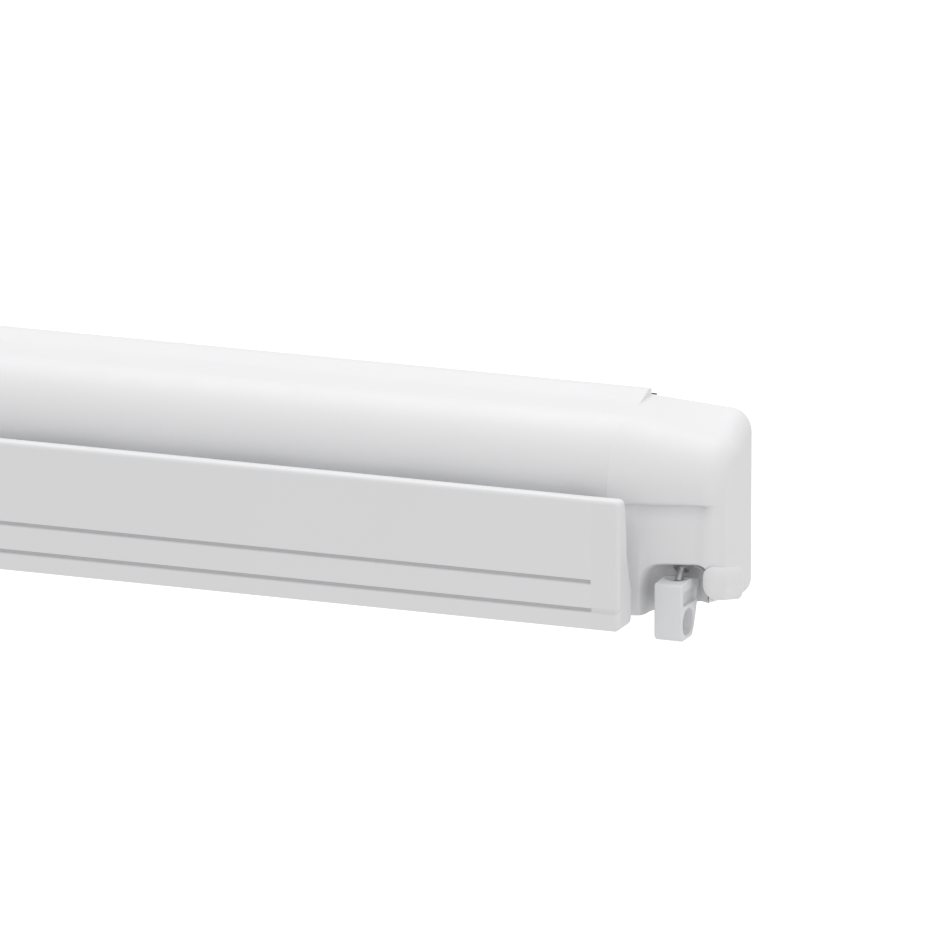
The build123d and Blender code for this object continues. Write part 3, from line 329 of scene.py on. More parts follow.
def arc_centre(start, end):
    """The centre of the front's arc from its shoulder to its lower edge."""
    half = radians(front_turn_deg) / 2
    chord = Vector(end) - Vector(start)
    across = Vector((-chord.y, chord.x)).normalized()
    return (Vector(start) + Vector(end)) / 2 + across * chord.length / 2 / tan(half)


def front_arc(start, end):
    """Points on the front's arc, ends included."""
    centre = arc_centre(start, end)
    first = Vector(start) - centre
    return [centre + Matrix.Rotation(a, 2) @ first for a in turns(0, radians(front_turn_deg), arc_steps)]


def rounded(corners, steps=5):
    """A closed outline through (point, radius) pairs, each corner rounded by its own radius."""
    points = [Vector(point) for point, _ in corners]
    result = []
    for number, (_, radius) in enumerate(corners):
        here = points[number]
        if radius <= 0:
            result.append(here)
            continue
        before = (points[number - 1] - here).normalized()
        after = (points[(number + 1) % len(points)] - here).normalized()
        half = before.angle(after) / 2
        centre = here + (before + after).normalized() * radius / sin(half)
        first = here + before * radius / tan(half) - centre
        last = here + after * radius / tan(half) - centre
        sweep = first.angle_signed(last)
        for step in range(steps + 1):
            result.append(centre + Matrix.Rotation(-sweep * step / steps, 2) @ first)
    return result


def block(depth_0, depth_1, height_0, height_1, soft=0.3):
    """A rectangle with rounded corners."""
    points = [(depth_0, height_0), (depth_1, height_0), (depth_1, height_1), (depth_0, height_1)]
    return rounded([(point, soft) for point in points], 3)


def moved_in(points, amount):
    """An outline with each edge moved inwards by an amount, the rear edge excepted."""
    points = [Vector(point) for point in points]
    if amount <= 0:
        return points
    lines = []
    for number, start in enumerate(points):
        along = (points[(number + 1) % len(points)] - start).normalized()
        inward = Vector((-along.y, along.x))
        shift = 0.0 if number == 0 else amount
        lines.append((start + inward * shift, along))
    result = []
    for number, (other, other_along) in enumerate(lines):
        point, along = lines[number - 1]
        cross = along.x * other_along.y - along.y * other_along.x
        if abs(cross) < nearly_parallel:
            result.append(points[number] + Vector((-along.y, along.x)) * amount)
            continue
        between = other - point
        result.append(point + along * (between.x * other_along.y - between.y * other_along.x) / cross)
    return result


def smooth_share(value, start, end):
    """0 before start, 1 after end, with a soft passage between them."""
    share = min(1.0, max(0.0, (value - start) / (end - start)))
    return share * share * (3 - 2 * share)


def end_inset(reach, length, radius):
    """How far a rounded end has drawn in its outline at a distance from the seam."""
    over = max(0.0, reach - (length - radius))
    return radius - sqrt(max(0.0, radius**2 - over**2))


# Solids


def new_object(name, data):
    obj = bpy.data.objects.new(name, data)
    bpy.context.scene.collection.objects.link(obj)
    return obj


def shade(obj, angle=sharp_angle):
    """Smooth shading that keeps real edges sharp."""
    mesh = obj.data
    for polygon in mesh.polygons:
        polygon.use_smooth = True
    mesh.set_sharp_from_angle(angle=radians(angle))
    return obj


def skin_loops(name, loops):
    """A closed solid through loops of equal length, each a list of points in metres."""
    mesh = bmesh.new()
    rings = [[mesh.verts.new(point) for point in loop] for loop in loops]
    for near, far in zip(rings, rings[1:]):
        for number in range(len(near)):
            after = (number + 1) % len(near)
            mesh.faces.new((near[number], near[after], far[after], far[number]))
    mesh.faces.new(rings[0][::-1])
    mesh.faces.new(rings[-1])
    bmesh.ops.remove_doubles(mesh, verts=mesh.verts, dist=same_point)
    bmesh.ops.dissolve_degenerate(mesh, edges=mesh.edges, dist=same_point)
    bmesh.ops.recalc_face_normals(mesh, faces=mesh.faces)
    data = bpy.data.meshes.new(name)
    mesh.to_mesh(data)
    mesh.free()
    return new_object(name, data)


def profile(name, outline, x_0, x_1):
    """A section drawn out along the awning."""
    return skin_loops(name, [[place(x, *point) for point in outline] for x in (x_0, x_1)])


def rod_along(name, start, direction, radii, length, steps=48):
    """A rod or cone from a point in metres along a direction, with a radius at each end."""
    turn = upwards.rotation_difference(direction).to_matrix()
    loops = []
    for along, radius in zip((0.0, length), radii):
        ring = circle_points((0, 0), radius, steps)
        loops.append([start + turn @ Vector((p.x, p.y, along)) * MM for p in ring])
    return skin_loops(name, loops)


def cut(obj, other):
    """Takes the second solid out of the first; the second one is used up."""
    modifier = obj.modifiers.new("cut", "BOOLEAN")
    modifier.operation = "DIFFERENCE"
    modifier.solver = "EXACT"
    modifier.use_self = True
    modifier.object = other
    depsgraph = bpy.context.evaluated_depsgraph_get()
    mesh = bpy.data.meshes.new_from_object(obj.evaluated_get(depsgraph))
    obj.modifiers.clear()
    obj.data = mesh
    bpy.data.objects.remove(other)
    return obj


def joined(name, objects):
    """Several solids as one object."""
    mesh = bmesh.new()
    for obj in objects:
        mesh.from_mesh(obj.data)
        bpy.data.objects.remove(obj)
    data = bpy.data.meshes.new(name)
    mesh.to_mesh(data)
    mesh.free()
    return new_object(name, data)


def mirrored_copy(obj, name):
    """The same piece for the other end of the awning."""
    data = obj.data.copy()
    data.transform(Matrix.Scale(-1, 4, Vector((1, 0, 0))))
    data.flip_normals()
    return new_object(name, data)


# Materials


def feed(tree, socket, value):
    """Links another node's output to an input, or sets the input to a plain value."""
    if isinstance(value, bpy.types.NodeSocket):
        tree.links.new(value, socket)
    else:
        socket.default_value = value


def math_node(tree, operation, *values):
    node = tree.nodes.new("ShaderNodeMath")
    node.operation = operation
    for socket, value in zip(node.inputs, values):
        feed(tree, socket, value)
    return node.outputs["Value"]


def mix_node(tree, share, first, second):
    """Two tones mixed by a share from 0 to 1."""
    node = tree.nodes.new("ShaderNodeMix")
    node.data_type = "RGBA"
    for name, value in (("Factor", share), ("A", first), ("B", second)):
        feed(tree, node.inputs[name], value)
    return node.outputs["Result"]


def map_node(tree, value, span, result=(0.0, 1.0)):
    """A value carried over from one span to another."""
    node = tree.nodes.new("ShaderNodeMapRange")
    for name, number in zip(("From Min", "From Max", "To Min", "To Max"), (*span, *result)):
        node.inputs[name].default_value = number
    tree.links.new(value, node.inputs["Value"])
    return node.outputs["Result"]


def noise_node(tree, where, scale, detail):
    node = tree.nodes.new("ShaderNodeTexNoise")
    node.inputs["Scale"].default_value = scale
    node.inputs["Detail"].default_value = detail
    tree.links.new(where, node.inputs["Vector"])
    return node.outputs["Fac"]


def wave_node(tree, where, direction, scale, distortion=0.0):
    node = tree.nodes.new("ShaderNodeTexWave")
    node.bands_direction = direction
    node.inputs["Scale"].default_value = scale
    node.inputs["Distortion"].default_value = distortion
    tree.links.new(where, node.inputs["Vector"])
    return node.outputs["Fac"]


def bump_node(tree, height, relief, under=None):
    """Relief of a depth in millimetres, over another relief if one is given."""
    node = tree.nodes.new("ShaderNodeBump")
    node.inputs["Strength"].default_value = 1.0
    node.inputs["Distance"].default_value = relief * MM
    tree.links.new(height, node.inputs["Height"])
    if under:
        tree.links.new(under, node.inputs["Normal"])
    return node.outputs["Normal"]


def new_material(name):
    material = bpy.data.materials.new(name)
    material.use_nodes = True
    return material, material.node_tree, material.node_tree.nodes["Principled BSDF"]


def surface_material(
    name, colour, roughness, grain, grain_depth, mottle, metallic=0.0, stretch=1.0, groove_shade=0.0
):
    """A finish with fine grain in relief, slight unevenness of tone, uneven gloss and, where asked, painted
    shade in the lead bar's grooves.
    """
    material, tree, shader = new_material(name)
    shader.inputs["Metallic"].default_value = metallic
    where = tree.nodes.new("ShaderNodeTexCoord").outputs["Object"]
    mapping = tree.nodes.new("ShaderNodeMapping")
    mapping.inputs["Scale"].default_value = (1 / stretch, 1.0, 1.0)
    tree.links.new(where, mapping.inputs["Vector"])
    drawn = mapping.outputs["Vector"]

    relief = bump_node(tree, noise_node(tree, drawn, grain, grain_detail), grain_depth)
    tree.links.new(relief, shader.inputs["Normal"])

    darker = (*(c * (1 - mottle) for c in colour), 1)
    lighter = (*(min(1.0, c * (1 + mottle)) for c in colour), 1)
    uneven = noise_node(tree, drawn, tone_noise_scale, tone_detail)
    tone = mix_node(tree, uneven, darker, lighter)
    # Painted shade: the lead bar's grooves are darkened in the colour.
    if groove_shade:
        tone = painted_groove_shade(tree, where, tone, groove_shade)
    tree.links.new(tone, shader.inputs["Base Color"])

    gloss = noise_node(tree, drawn, gloss_noise_scale, gloss_detail)
    spread = (roughness - rough_spread, roughness + rough_spread)
    tree.links.new(map_node(tree, gloss, gloss_noise_span, spread), shader.inputs["Roughness"])
    return material


def painted_groove_shade(tree, where, tone, groove_shade):
    """Painted shade in the lead bar's grooves: darker where the face lies behind the front."""
    apart = tree.nodes.new("ShaderNodeSeparateXYZ")
    tree.links.new(where, apart.inputs["Vector"])
    depth = apart.outputs["Y"]
    covers = []
    for middle in (groove_low, groove_high):
        height = (middle - groove_slope / 3 - origin_height) * MM
        reach = groove_width * groove_shade_width * MM
        covers.append(math_node(tree, "COMPARE", apart.outputs["Z"], height, reach))
    share = math_node(tree, "MAXIMUM", *covers)
    skin = math_node(tree, "LESS_THAN", depth, (groove_depth + groove_shade_behind_floor - wall_depth) * MM)
    span = ((groove_shade_start - wall_depth) * MM, (groove_depth - groove_shade_before_floor - wall_depth) * MM)
    for factor in (skin, map_node(tree, depth, span), groove_shade):
        share = math_node(tree, "MULTIPLY", share, factor)
    return mix_node(tree, share, tone, groove_shade_colour)


def woven_material(name):
    """Coated cloth: two crossing sets of threads in relief, over broad stripes of two tones."""
    material = surface_material(name, **cloth)
    tree = material.node_tree
    shader = tree.nodes["Principled BSDF"]
    shader.inputs["Sheen Weight"].default_value = cloth_sheen
    grain = shader.inputs["Normal"].links[0].from_socket
    tone = shader.inputs["Base Color"].links[0].from_socket
    where = tree.nodes.new("ShaderNodeTexCoord").outputs["Object"]
    threads = [wave_node(tree, where, axis, thread_scale, thread_wobble) for axis in ("X", "Y")]
    relief = bump_node(tree, math_node(tree, "MAXIMUM", *threads), thread_relief, grain)
    tree.links.new(relief, shader.inputs["Normal"])

    bands = wave_node(tree, where, "X", wave_period / stripe_pitch)
    striped = mix_node(tree, math_node(tree, "GREATER_THAN", bands, 0.5), tone, stripe_colour)
    tree.links.new(striped, shader.inputs["Base Color"])
    return material


def finish_piece(obj, slot, body, *nodes):
    """Gives a piece its finish and body, and hides the CAD nodes it stands for."""
    obj.data.materials.clear()
    obj.data.materials.append(materials[slot])
    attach(obj, body)
    if nodes:
        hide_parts(*nodes)
    return obj


# Case


def port_places():
    """Depth and height of each screw port, and the height of the wall that its web joins."""
    depth = case_depth - screw_port_inset
    upper = (depth, top_rear_height - screw_port_drop, top_rear_height - section_wall)
    lower = (depth, floor_height + screw_port_inset, floor_height + section_wall)
    return [upper, lower]


def case_outline():
    """The extrusion's section as one closed outline, from the floor's front edge round to its lip."""
    shoulder = (shoulder_depth, shoulder_height)
    front_edge = (front_edge_depth, front_edge_height)
    outer_arc = front_arc(shoulder, front_edge)
    centre = arc_centre(shoulder, front_edge)
    share = 1 - section_wall / (outer_arc[0] - centre).length
    inner_arc = [centre + (point - centre) * share for point in reversed(outer_arc)]
    lip_front = case_depth - rear_lip_width
    lip_top = top_rear_height + rear_lip_rise
    ramp_foot = lip_front - rear_lip_ramp
    top_slope = (top_rear_height - shoulder_height) / (case_depth - shoulder_depth)
    inside = case_depth - section_wall
    hook = rail_depth - rail_wall
    front_inside = floor_front + section_wall
    corners = [
        ((floor_front, floor_height), 0.4),
        ((case_depth, floor_height), 0.6),
        ((case_depth, rail_top - rail_wall), 0.2),
        ((hook, rail_top - rail_wall), 0.2),
        ((hook, rail_bottom), 0.3),
        ((rail_depth, rail_bottom), 0.3),
        ((rail_depth, rail_top), 0.5),
        ((case_depth, rail_top), 0.2),
        ((case_depth, lip_top), 0.7),
        ((lip_front, lip_top), 8.0),
        ((ramp_foot, shoulder_height + top_slope * (ramp_foot - shoulder_depth)), 30.0),
    ]
    corners += [(point, 0) for point in outer_arc + inner_arc]
    corners += [
        ((inside, top_rear_height - section_wall), 0.5),
        ((inside, floor_height + section_wall), 0.5),
        ((front_inside, floor_height + section_wall), 0.5),
        ((front_inside, floor_height + floor_lip), 0.4),
        ((floor_front, floor_height + floor_lip), 0.4),
    ]
    return rounded(corners)


def build_case():
    pieces = [profile("case_profile", case_outline(), -case_half, case_half)]
    half_web = section_wall / 2
    bore_half = case_half + section_wall
    for depth, height, wall in port_places():
        port = profile("port", circle_points((depth, height), screw_port_radius), -case_half, case_half)
        bore = profile("bore", circle_points((depth, height), screw_port_bore), -bore_half, bore_half)
        pieces.append(cut(port, bore))
        side = 1 if wall > height else -1
        low, high = sorted((height + (screw_port_bore + half_web) * side, wall))
        left, right = depth - half_web, depth + half_web
        web = [(left, low), (right, low), (right, high), (left, high)]
        pieces.append(profile("web", web, -case_half, case_half))
    finish_piece(shade(joined("case_profile", pieces)), "case_paint", "case", "case_shell")


# End caps of the case


def cap_loop(reach, shrink, winch):
    """The end cap's outline at a distance from the seam, moved inwards by shrink except at the rear."""
    share = reach / cap_side
    front = front_edge_depth + cap_front_back * share
    shoulder = (shoulder_depth + cap_shoulder_back * share, shoulder_height - cap_shoulder_drop * share)
    foot = 0.0
    if winch:
        half = mouth_half_width / 2
        foot = cap_foot_rise * smooth_share(reach, eye_inset - half, eye_inset + half)
    points = [(case_depth, cap_floor_height), (case_depth, top_rear_height - cap_top_drop * share)]
    points += front_arc(shoulder, (front, front_edge_height))
    points.append((front, cap_floor_height + foot))
    points = moved_in(points, shrink)
    front, floor = points.pop()
    soft = 1 - smooth_share(reach, recess_length - recess_blend, recess_length + recess_blend)
    under = soft * smooth_share(reach, 0.0, lead_cap_length)
    back = front + ledge_step * soft
    rim = points[-1].y
    for across, down in ledge_nose_form:
        points.append(Vector((front + ledge_nose * under * across, rim - ledge_nose * down)))
    for across, down in ledge_cove_form:
        points.append(Vector((back + ledge_cove * under * across, rim - ledge_cove_height * down)))
    points.append(Vector((back, floor)))
    return points


def cap_solid(name, winch):
    """The cap's full form through sections along it, rounded towards its side."""
    blend_start = recess_length - recess_blend
    plain_count = round((blend_start - cap_first_section) / cap_section_step)
    reaches = [0.0]
    reaches += [cap_first_section + cap_section_step * n for n in range(plain_count)]
    reaches += turns(blend_start, recess_length + recess_blend, round_steps)
    reaches += [cap_side - cap_round + cap_round * sin(a) for a in turns(0, pi / 2, 2 * round_steps)[1:]]
    loops = []
    for reach in sorted(set(round(value, 4) for value in reaches)):
        outline = cap_loop(reach, end_inset(reach, cap_side, cap_round), winch)
        loops.append([place(case_half + reach, *point) for point in outline])
    return skin_loops(name, loops)


def arch_outline(grow, low):
    """The mouth's outline as (along, height) about its middle."""
    left = mouth_half_width + grow
    right = mouth_half_width + grow * mouth_rim_right
    top = mouth_height + grow
    corners = [
        ((-left, low), 0),
        ((right, low), 0),
        ((right, top), mouth_round),
        ((-left, top), mouth_round + grow),
    ]
    return rounded(corners, round_steps)


def mouth_cutter():
    """The mouth's space, flared at the front so that its rim is a soft edge, and round at the back."""
    low = cap_floor_height - section_wall
    middle = case_half + eye_inset
    loops = []
    for behind, share in mouth_flare:
        loop = []
        for along, height in arch_outline(mouth_rim * share, low):
            front = front_edge_depth + cap_front_back * (eye_inset + along) / cap_side + ledge_step
            loop.append(place(middle + along, front + behind, height))
        loops.append(loop)
    plain = arch_outline(0.0, low)
    for number in range(1, mouth_back_steps + 1):
        angle = pi / 2 * number / (mouth_back_steps + 0.5)
        depth = eye_depth + mouth_half_width * sin(angle)
        loops.append([place(middle + along * cos(angle), depth, height) for along, height in plain])
    return skin_loops("mouth", loops)


def shaft_direction():
    """The worm shaft's direction, leaning back from the eye so that it passes the wheel at its distance."""
    back = roller_depth - eye_depth
    up = roller_height - ball_height
    lean = atan2(back, up) + asin(gear_distance / hypot(back, up))
    return Vector((0, sin(lean), cos(lean))), lean


def corner_path(along):
    """Plan place and outward direction on the cap at a distance round from its corner's middle."""
    lean = atan2(cap_front_back, cap_side)
    half = cap_round * (pi / 2 - lean) / 2
    tangent = cap_round * tan((pi / 2 - lean) / 2)
    centre = Vector((cap_side - cap_round, 0))
    centre.y = front_edge_depth + cap_front_back - tangent * sin(lean) + cap_round * cos(lean)
    angle = lean + min(1.0, max(0.0, (along + half) / (2 * half))) * (pi / 2 - lean)
    outward = Vector((sin(angle), -cos(angle)))
    point = centre + outward * cap_round
    if along < -half:
        point += Vector((cos(lean), sin(lean))) * (along + half)
    if along > half:
        point += Vector((0, 1)) * (along - half)
    return point, outward


def pad_ring(inset):
    """The pad's outline moved in by an inset, its long sides in short pieces that can follow the corner."""
    half_width = (pad_end - pad_start) / 2
    width = half_width - inset
    height = pad_height / 2 - inset
    radius = max(pad_round - inset * pad_round_loss, pad_least_round)
    corners = [(-width, -height), (width, -height), (width, height), (-width, height)]
    flat = rounded([(corner, radius) for corner in corners], round_steps)
    ring = []
    for number, point in enumerate(flat):
        after = flat[(number + 1) % len(flat)]
        pieces = pad_long_side_pieces if abs(after.x - point.x) > half_width else 1
        ring += [point.lerp(after, n / pieces) for n in range(pieces)]
    return ring


def pad_solid():
    """The low crowned pad that wraps round the cap's outer corner, leaning back with the foot."""
    middle = Vector(((pad_start + pad_end) / 2, pad_middle_height))
    rings = []
    for inset in pad_insets:
        crown = pad_crown * (1 - (1 - min(1.0, inset / pad_crown_width)) ** pad_crown_power)
        rings.append((pad_ring(inset), crown if inset else -pad_sink))
    backs = [(ring, -pad_sink) for ring, _ in reversed(rings)]
    loops = []
    for ring, out in backs + rings:
        loop = []
        for point in ring:
            spread = middle + point
            spot, outward = corner_path(spread.x)
            spot = spot + outward * out
            height = spread.y - tan(radians(pad_lean_deg)) * spread.x
            loop.append(place(case_half + spot.x, spot.y, height))
        loops.append(loop)
    return skin_loops("pad_right", loops)


def build_caps():
    right = cut(cap_solid("cap_right", True), mouth_cutter())
    direction, _ = shaft_direction()
    start = place(case_half + eye_inset, eye_depth, ball_height) + direction * shaft_hole_start * MM
    radii = (shaft_hole_radius, shaft_hole_radius)
    cut(right, rod_along("shaft_hole", start, direction, radii, shaft_hole_length))
    blank = cap_solid("cap_blank", False)
    left = mirrored_copy(blank, "cap_left")
    bpy.data.objects.remove(blank)
    finish_piece(shade(right), "cap_plastic", "case", "end_cap_right")
    finish_piece(shade(left), "cap_plastic", "case", "end_cap_left")
    pad = pad_solid()
    for piece in (pad, mirrored_copy(pad, "pad_left")):
        finish_piece(shade(piece), "cap_plastic", "case")


# Crank eye


def side_profile(name, loops, half_width, soft, x):
    """A filled outline with holes, of a set width along the awning, with rounded edges."""
    curve = bpy.data.curves.new(name, "CURVE")
    curve.dimensions = "2D"
    curve.fill_mode = "BOTH"
    curve.extrude = (half_width - soft) * MM
    curve.bevel_depth = soft * MM
    curve.bevel_resolution = 3
    curve.offset = -soft * MM
    for loop in loops:
        spline = curve.splines.new("POLY")
        spline.points.add(len(loop) - 1)
        for point, where in zip(spline.points, loop):
            point.co = (where[0] * MM, where[1] * MM, 0, 1)
        spline.use_cyclic_u = True
    shape = new_object(name + "_curve", curve)
    depsgraph = bpy.context.evaluated_depsgraph_get()
    mesh = bpy.data.meshes.new_from_object(shape.evaluated_get(depsgraph))
    bpy.data.objects.remove(shape)
    turn = Matrix(((0, 0, 1), (1, 0, 0), (0, 1, 0))).to_4x4()
    mesh.transform(Matrix.Translation(place(x, 0, 0)) @ turn)
    clean = bmesh.new()
    clean.from_mesh(mesh)
    bmesh.ops.remove_doubles(clean, verts=clean.verts, dist=same_point)
    bmesh.ops.recalc_face_normals(clean, faces=clean.faces)
    clean.to_mesh(mesh)
    clean.free()
    return new_object(name, mesh)


def ball_at(name, centre, radius):
    """A ball with its centre given in metres."""
    ball = bmesh.new()
    bmesh.ops.create_uvsphere(ball, u_segments=40, v_segments=24, radius=radius * MM)
    bmesh.ops.translate(ball, verts=ball.verts, vec=centre)
    mesh = bpy.data.meshes.new(name)
    ball.to_mesh(mesh)
    ball.free()
    return new_object(name, mesh)


def eye_outlines():
    """The eye's outline from the side, and the long hole for the crank's hook."""
    front = eye_depth - eye_front
    corners = [
        ((front, eye_bottom), eye_low_corner),
        ((front, eye_top_front), eye_corner),
        ((eye_depth, eye_top_middle), eye_corner),
        ((eye_depth + eye_rear_top, eye_top_rear), eye_corner),
        ((eye_depth + eye_waist_rear, eye_waist_height), eye_corner),
        ((eye_depth + eye_rear_low, eye_bottom), eye_low_corner),
    ]
    middle = eye_depth - (eye_front - eye_waist_rear) / 2
    half = (eye_hole_width - eye_hole_height) / 2
    radius = eye_hole_height / 2
    hole = arc_about((middle + half, eye_hole_centre), radius, turns(-pi / 2, pi / 2))
    hole += arc_about((middle - half, eye_hole_centre), radius, turns(pi / 2, pi * 1.5))
    return [rounded(corners, 6), hole]


def build_eye():
    x = case_half + eye_inset
    eye = side_profile("crank_loop", eye_outlines(), eye_width / 2, eye_soft, x)
    back = eye_depth - eye_pocket_ahead
    pocket = block(
        back - eye_pocket_width / 2,
        back + eye_pocket_width / 2,
        eye_pocket_centre - eye_pocket_height / 2,
        eye_pocket_centre + eye_pocket_height / 2,
        eye_pocket_round,
    )
    for side in (-1, 1):
        near = x + side * (eye_width / 2 - eye_pocket_depth)
        cut(eye, profile("pocket", pocket, *sorted((near, x + side * eye_width))))
    _, lean = shaft_direction()
    centre = place(x, eye_depth, ball_height)
    cut(eye, ball_at("socket", centre, socket_radius))
    rise = eye_top_middle + section_wall - ball_height
    throat = (neck_radius + gap) / cos(lean)
    cut(eye, rod_along("throat", centre, upwards, (throat, throat + rise * tan(lean)), rise))
    finish_piece(shade(eye), "eye_plastic", "crank_eye", "crank_eye")


# Lead bar


def lead_skin():
    """The front skin with its grooves, rounded top flange and rear lip."""
    corners = [((0, 0), 0.5)]
    for middle in (groove_low, groove_high):
        low = middle - groove_width / 2
        high = middle + groove_width / 2
        corners += [
            ((0, low - groove_slope), groove_soft),
            ((groove_depth, low), groove_inner_soft),
            ((groove_depth, high), groove_inner_soft),
            ((0, high), groove_soft),
        ]
    lip = lead_height - lead_back_lip
    corners += [
        ((0, lead_height), lead_top_round),
        ((lead_top_depth, lead_height), lead_top_rear_round),
        ((lead_top_depth, lip), 0.4),
        ((lead_top_depth - lead_wall, lip), 0.4),
        ((lead_top_depth - lead_wall, lead_height - lead_wall), 0.4),
        ((lead_wall, lead_height - lead_wall), 0.8),
        ((lead_wall, lead_wall), 0.4),
        ((lead_foot_depth, lead_wall), 0.4),
        ((lead_foot_depth, 0), 0.4),
    ]
    return rounded(corners)


def slot_ring():
    """The open tube that holds the cloth's bead, its lips drawn a little together."""
    middle = (hem_depth, hem_height)
    mouth = asin(hem_slot_mouth / 2 / hem_slot_radius)
    lip = mouth * hem_slot_lip
    outer_turns = turns(lip, 2 * pi - lip, hem_slot_steps)
    inner_turns = turns(2 * pi - mouth, mouth, hem_slot_steps)
    outer = arc_about(middle, hem_slot_radius + hem_slot_wall, outer_turns)
    return outer + arc_about(middle, hem_slot_radius, inner_turns)


def build_lead_bar():
    half_web = hem_slot_wall / 2
    slot_front = hem_depth - hem_slot_radius - half_web
    sections = [
        lead_skin(),
        block(lead_wall, lead_box_depth, lead_box_high - lead_wall, lead_box_high),
        block(
            lead_box_depth - lead_wall, lead_box_depth, lead_box_low + lead_wall, lead_box_high - lead_wall
        ),
        block(lead_wall, lead_channel_depth, lead_box_low, lead_box_low + lead_wall),
        block(lead_channel_depth - lead_wall, lead_channel_depth, lead_channel_lip, lead_box_low),
        block(lead_wall, slot_front, hem_height - half_web, hem_height + half_web),
        slot_ring(),
    ]
    pieces = [profile("lead_piece", section, -case_half, case_half) for section in sections]
    finish_piece(shade(joined("lead_profile", pieces)), "case_paint", "lead_bar", "lead_bar")


def lead_cap_loop(shrink):
    """The lead bar cap's outline, its front, top and bottom moved inwards by shrink."""
    low = groove_low - groove_width / 2
    high = groove_low + groove_width / 2
    corners = [
        ((shrink, shrink), 0.5),
        ((shrink, low - groove_slope), groove_soft),
        ((shrink + groove_depth, low), groove_inner_soft),
        ((shrink + groove_depth, high), groove_inner_soft),
        ((shrink, high), groove_soft),
        ((shrink, lead_height - shrink), lead_top_round),
        ((lead_top_depth, lead_height - shrink), lead_top_rear_round),
        ((lead_box_depth, lead_box_high), 4.0),
        ((lead_box_depth + lead_cap_bulge, lead_cap_bulge_height), 4.0),
        ((lead_channel_depth, lead_box_low), 3.0),
        ((lead_channel_depth, shrink), 1.2),
    ]
    return rounded(corners, 6)


def build_lead_caps():
    flat = lead_cap_length - lead_cap_round
    loops = []
    for reach in [0.0, flat] + [flat + lead_cap_round * sin(a) for a in turns(0, pi / 2, round_steps)[1:]]:
        outline = lead_cap_loop(end_inset(reach, lead_cap_length, lead_cap_round))
        loops.append([place(case_half + reach, *point) for point in outline])
    cap = skin_loops("lead_cap", loops)
    start = place(case_half + notch_reach, lead_top_depth, lead_height - notch_depth)
    cut(cap, rod_along("notch", start, upwards, (notch_radius, notch_radius), notch_depth + 1, 24))
    plug = block(
        lead_wall + gap, plug_depth, lead_box_low + lead_wall + gap, lead_box_high - lead_wall - gap
    )
    stub = profile("plug", plug, case_half - plug_length, case_half + lead_wall)
    right = joined("lead_end_right", [cap, stub])
    left = mirrored_copy(right, "lead_end_left")
    finish_piece(shade(right), "cap_plastic", "lead_bar", "lead_bar_cap_right")
    finish_piece(shade(left), "cap_plastic", "lead_bar", "lead_bar_cap_left")


# Cloth


def build_roll():
    """The cloth wound on the roller: one band in a spiral, its turns apart at the ends."""
    turn_count = fabric_length / (pi * (roller_radius + fabric_radius))
    pitch = (fabric_radius - roller_radius - fabric_thickness) / turn_count
    half = case_half - roller_end_gap - fabric_margin
    middle = Vector((roller_depth, roller_height))
    loops = []
    for turned in turns(0, turn_count, round(turn_count * roll_steps)):
        inner = roller_radius + roll_clearance + pitch * turned
        outer = inner + fabric_thickness
        direction = Vector((cos(2 * pi * turned), sin(2 * pi * turned)))
        reach = half - fabric_stagger * (1 + sin(turned * stagger_rate)) / 2
        corners = [(-reach, inner), (reach, inner), (reach, outer), (-reach, outer)]
        loops.append([place(x, *(middle + direction * radius)) for x, radius in corners])
    roll = shade(skin_loops("awning_roll", loops))
    finish_piece(roll, "awning_fabric", "roller", "fabric_roll")


def build_hem():
    """The cloth's front edge: a sleeve round its bead, sewn to itself, then the single cloth behind it."""
    half = case_half - roller_end_gap - fabric_margin
    thin = hem_thickness / 2
    thick = thin * hem_sewn_share
    open_angle = asin(thick / hem_radius)
    section = arc_about((hem_depth, hem_height), hem_radius, turns(open_angle, 2 * pi - open_angle, hem_steps))
    edge = [(hem_sleeve + behind, thick * share) for behind, share in hem_seam_form]
    edge += [(hem_sleeve + 0.5, thin), (hem_reach - 0.2, thin), (hem_reach, thin * 0.4)]
    section += [Vector((depth, hem_height - out)) for depth, out in edge]
    section += [Vector((depth, hem_height + out)) for depth, out in reversed(edge)]
    hem = shade(profile("awning_hem", section, -half, half))
    finish_piece(hem, "awning_fabric", "lead_bar", "fabric_hem")


# CAD nodes that keep their own shape


def dress_nodes():
    slots = {part["node"]: part["material_slot"] for part in frame["record"]["subparts"]}
    for name, node in frame["nodes"].items():
        node.data.materials.clear()
        node.data.materials.append(materials[slots[name]])
        shade(node, node_sharp_angle)


# Stage, light and camera


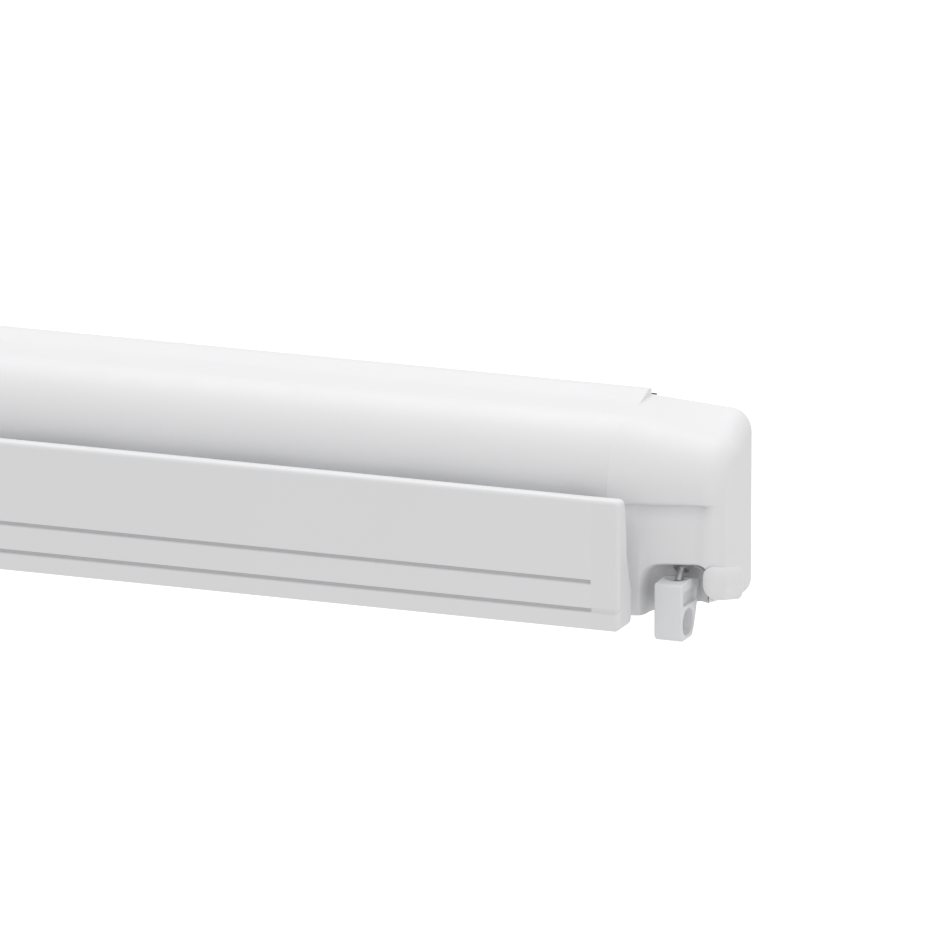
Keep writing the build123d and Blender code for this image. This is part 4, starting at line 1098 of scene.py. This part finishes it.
def build_floor():
    """A pale floor that a ray from the camera, a reflection or a transparent thing meets as even white."""
    half = floor_half_size
    corners = [(-half, -half), (half, -half), (half, half), (-half, half)]
    mesh = bpy.data.meshes.new("floor")
    mesh.from_pydata([(*corner, -ground_drop) for corner in corners], [], [(0, 1, 2, 3)])
    floor = new_object("floor", mesh)
    material, tree, shader = new_material("pale_floor")
    grey = (floor_grey, floor_grey, floor_grey, 1)
    shader.inputs["Base Color"].default_value = grey
    shader.inputs["Roughness"].default_value = floor_roughness
    shader.inputs["Specular IOR Level"].default_value = 0.0
    path = tree.nodes.new("ShaderNodeLightPath").outputs
    direct = math_node(tree, "MAXIMUM", path["Is Camera Ray"], path["Is Glossy Ray"])
    glow = tree.nodes.new("ShaderNodeEmission")
    glow.inputs["Color"].default_value = (1, 1, 1, 1)
    glow.inputs["Strength"].default_value = floor_glow
    matt = tree.nodes.new("ShaderNodeBsdfDiffuse")
    matt.inputs["Color"].default_value = grey
    white = tree.nodes.new("ShaderNodeAddShader")
    mix = tree.nodes.new("ShaderNodeMixShader")
    links = [
        (glow.outputs["Emission"], white.inputs[0]),
        (matt.outputs["BSDF"], white.inputs[1]),
        (math_node(tree, "MAXIMUM", direct, path["Is Transmission Ray"]), mix.inputs["Fac"]),
        (shader.outputs["BSDF"], mix.inputs[1]),
        (white.outputs["Shader"], mix.inputs[2]),
        (mix.outputs["Shader"], tree.nodes["Material Output"].inputs["Surface"]),
    ]
    for start, end in links:
        tree.links.new(start, end)
    floor.data.materials.append(material)


def build_world():
    """White surroundings, a little brighter to the camera than in the light they give."""
    world = bpy.data.worlds.new("studio")
    bpy.context.scene.world = world
    world.use_nodes = True
    tree = world.node_tree
    background = tree.nodes["Background"]
    background.inputs["Color"].default_value = (1, 1, 1, 1)
    seen = tree.nodes.new("ShaderNodeLightPath").outputs["Is Camera Ray"]
    strength = map_node(tree, seen, (0.0, 1.0), (world_lighting, world_seen))
    tree.links.new(strength, background.inputs["Strength"])


def build_lights():
    aim = place(case_half, eye_depth, lead_box_high)
    for name, (offset, size, power) in lamps.items():
        light = bpy.data.lights.new(name, "AREA")
        light.shape = "RECTANGLE"
        light.size, light.size_y = size
        light.energy = power
        lamp = new_object(name, light)
        lamp.location = aim + Vector(offset)
        lamp.rotation_euler = (-Vector(offset)).to_track_quat("-Z", "Y").to_euler()


def build_camera():
    turn = radians(view_turn)
    rise = radians(view_height)
    back = Vector((sin(turn) * cos(rise), -cos(turn) * cos(rise), sin(rise)))
    right = Vector((cos(turn), sin(turn), 0))
    up = back.cross(right)
    distance = focal_pixels / pixels_per_mm * MM
    aside = (seam_pixel[0] - photo_size / 2) / focal_pixels * distance
    above = (photo_size / 2 - seam_pixel[1]) / focal_pixels * distance
    camera = bpy.data.cameras.new("photo")
    camera.sensor_width = sensor_mm
    camera.lens = focal_pixels / photo_size * sensor_mm
    camera.clip_end = camera_far
    obj = new_object("photo", camera)
    turned = Matrix((right, up, back)).transposed().to_4x4()
    where = place(case_half, 0, 0) + back * distance - right * aside - up * above
    obj.matrix_world = Matrix.Translation(where) @ turned
    bpy.context.scene.camera = obj


materials = {name: surface_material(name, **finish) for name, finish in finishes.items()}
materials["awning_fabric"] = woven_material("awning_fabric")
build_camera()
dress_nodes()
build_case()
build_caps()
build_eye()
build_lead_bar()
build_lead_caps()
build_roll()
build_hem()
build_floor()
build_world()
build_lights()
bpy.context.scene.view_settings.view_transform = "Standard"
